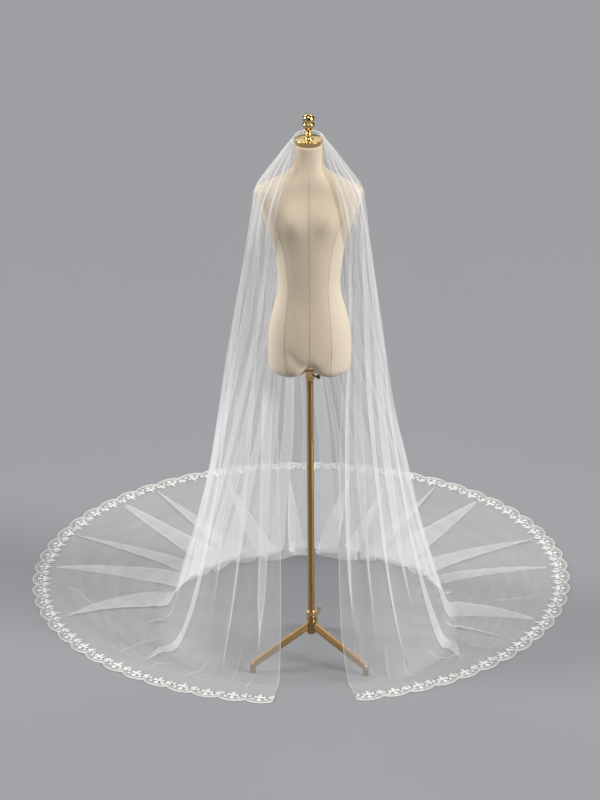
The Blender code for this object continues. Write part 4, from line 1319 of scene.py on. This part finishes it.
def build_thumb_screw(dark):
    """The screw that holds the form: a threaded stem with a knurled grip."""
    radius, stem, start, length, edge = GRIP_R, SCREW_R, GRIP_START, SCREW_LENGTH, 0.0009
    profile = [(0.0, length - 0.0008), (0.0030, length - 0.0006), (0.0040, length)]
    profile += rod(radius, start, length, edge)[1:-1]
    profile += [(0.0044, start), (0.0040, start - 0.0012), (stem, start - 0.0014)]
    for step in range(9):
        low = start - 0.0022 - step * 0.00105
        profile += [(stem, low), (stem - 0.0005, low - 0.0005)]
    profile.append((0.0, 0.0))
    turn = math.radians(SCREW_ANGLE)
    out_x, out_y = SCREW_FOOT * math.cos(turn), SCREW_FOOT * math.sin(turn)
    place = (POLE_X + out_x, POLE_Y + out_y, SCREW_Z)
    rings = swept(profile, 2 * KNURLS)
    far, height = np.hypot(rings[..., 0], rings[..., 1]), rings[..., 2]
    grip = (far > radius - edge) & (height > start + 0.0007) & (height < length - 0.0007)
    grip[:, 1::2] = False
    rings[grip, :2] *= (1 - KNURL_DEPTH / far[grip])[:, None]
    matrix = np.array(Matrix.Rotation(turn, 3, "Z") @ Matrix.Rotation(math.pi / 2, 3, "Y"))
    obj = add_grid("thumb_screw_brass", rings @ matrix.T + place, dark, True, body=SCREW_BODY)
    mark_sharp(obj, 38)
    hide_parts("thumb_screw")


# ---------------------------------------------------------------- stage


def aim_lamp(name, lamp, place, target):
    """Puts a lamp in the scene, pointed at its target."""
    obj = bpy.data.objects.new(name, lamp)
    obj.location = place
    obj.rotation_euler = (Vector(target) - Vector(place)).to_track_quat("-Z", "Y").to_euler()
    bpy.context.scene.collection.objects.link(obj)


def build_stage():
    """A plain pale floor, soft studio lights and the camera."""
    floor_material, nodes = new_material("studio_floor")
    soft = nodes.scaled(nodes.noise(1.2), 0.35, 0.65)
    tone = nodes.mixed(soft, (0.265, 0.27, 0.28, 1), (0.285, 0.29, 0.30, 1))
    inputs = {"Base Color": tone, "Roughness": 0.85, "Specular IOR Level": 0.15}
    nodes.finish(nodes.add("BsdfPrincipled", inputs))
    mesh = bpy.data.meshes.new("studio_floor")
    corners = np.array(((-1, -1, 0), (1, -1, 0), (1, 1, 0), (-1, 1, 0))) * FLOOR_REACH
    mesh.from_pydata(corners.tolist(), [], [(0, 1, 2, 3)])
    mesh.materials.append(floor_material)
    floor = bpy.data.objects.new("studio_floor", mesh)
    bpy.context.scene.collection.objects.link(floor)

    for name, place, target, softness, strength in SUNS:
        lamp = bpy.data.lights.new(name, "SUN")
        lamp.angle = math.radians(softness)
        lamp.energy = strength
        aim_lamp(name, lamp, place, target)
    for name, place, target, width, height, watts in PANELS:
        lamp = bpy.data.lights.new(name, "AREA")
        lamp.shape = "RECTANGLE"
        lamp.size, lamp.size_y = width, height
        lamp.energy = watts
        aim_lamp(name, lamp, place, target)

    world = bpy.data.worlds.new("studio")
    bpy.context.scene.world = world
    nodes = Nodes(world)
    bearing = nodes.add("TexCoord").outputs["Generated"]
    upward = nodes.scaled(nodes.add("SeparateXYZ", {0: bearing}).outputs[2], 0.0, 1.0)
    tone = nodes.mixed(upward, (0.30, 0.31, 0.33, 1), (0.72, 0.73, 0.75, 1))
    strength = nodes.scaled(nodes.add("LightPath").outputs["Is Glossy Ray"], 0.15, 0.09)
    nodes.finish(nodes.add("Background", {"Color": tone, "Strength": strength}), "OutputWorld")

    camera = bpy.data.cameras.new("camera")
    camera.sensor_fit = "VERTICAL"
    camera.sensor_height = SENSOR_HEIGHT
    camera.lens = CAMERA_LENS
    obj = bpy.data.objects.new("camera", camera)
    obj.location = (0.0, POLE_Y - CAMERA_AWAY, CAMERA_Z)
    tilt = Matrix.Rotation(math.radians(90 - CAMERA_DOWN), 3, "X")
    obj.rotation_euler = (tilt @ Matrix.Rotation(math.radians(CAMERA_ROLL), 3, "Z")).to_euler()
    bpy.context.scene.collection.objects.link(obj)
    bpy.context.scene.camera = obj
    bpy.context.scene.view_settings.view_transform = "Standard"
    bpy.context.scene.cycles.transparent_max_bounces = 40


def main():
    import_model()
    for obj in list(bpy.context.scene.objects):
        if obj.type in ("LIGHT", "CAMERA") or obj.name == "Cube":
            bpy.data.objects.remove(obj)
    build_stage()
    tulle = tulle_material()
    lace = thread_material("lace_thread", (0.95, 0.94, 0.91, 1), (0.84, 0.82, 0.77, 1), 0.0009)
    gathered = thread_material("gathered_net", (0.90, 0.90, 0.89, 1), (0.70, 0.70, 0.69, 1), 0.0012)
    veil, top, bearings = build_veil(tulle)
    heading = build_heading(top, gathered)
    edging = build_lace(bearings, lace)
    seams = thread_material("seam_thread", (0.56, 0.45, 0.32, 1), (0.44, 0.34, 0.23, 1), 0.0008)
    build_form(linen_material(), seams)
    build_stand(
        metal_material("gold_polished", (0.80, 0.58, 0.26, 1), (0.52, 0.34, 0.13, 1), 0.08, 0.17),
        metal_material(
            "gold_pole", (0.44, 0.27, 0.11, 1), (0.31, 0.17, 0.06, 1), 0.30, 0.38, 0.02, 0.85
        ),
        metal_material("gold_legs", (0.54, 0.34, 0.15, 1), (0.45, 0.27, 0.11, 1), 0.17, 0.23, 0.01),
        metal_material("brass_dark", (0.22, 0.16, 0.09, 1), (0.12, 0.08, 0.05, 1), 0.30, 0.45),
    )


main()
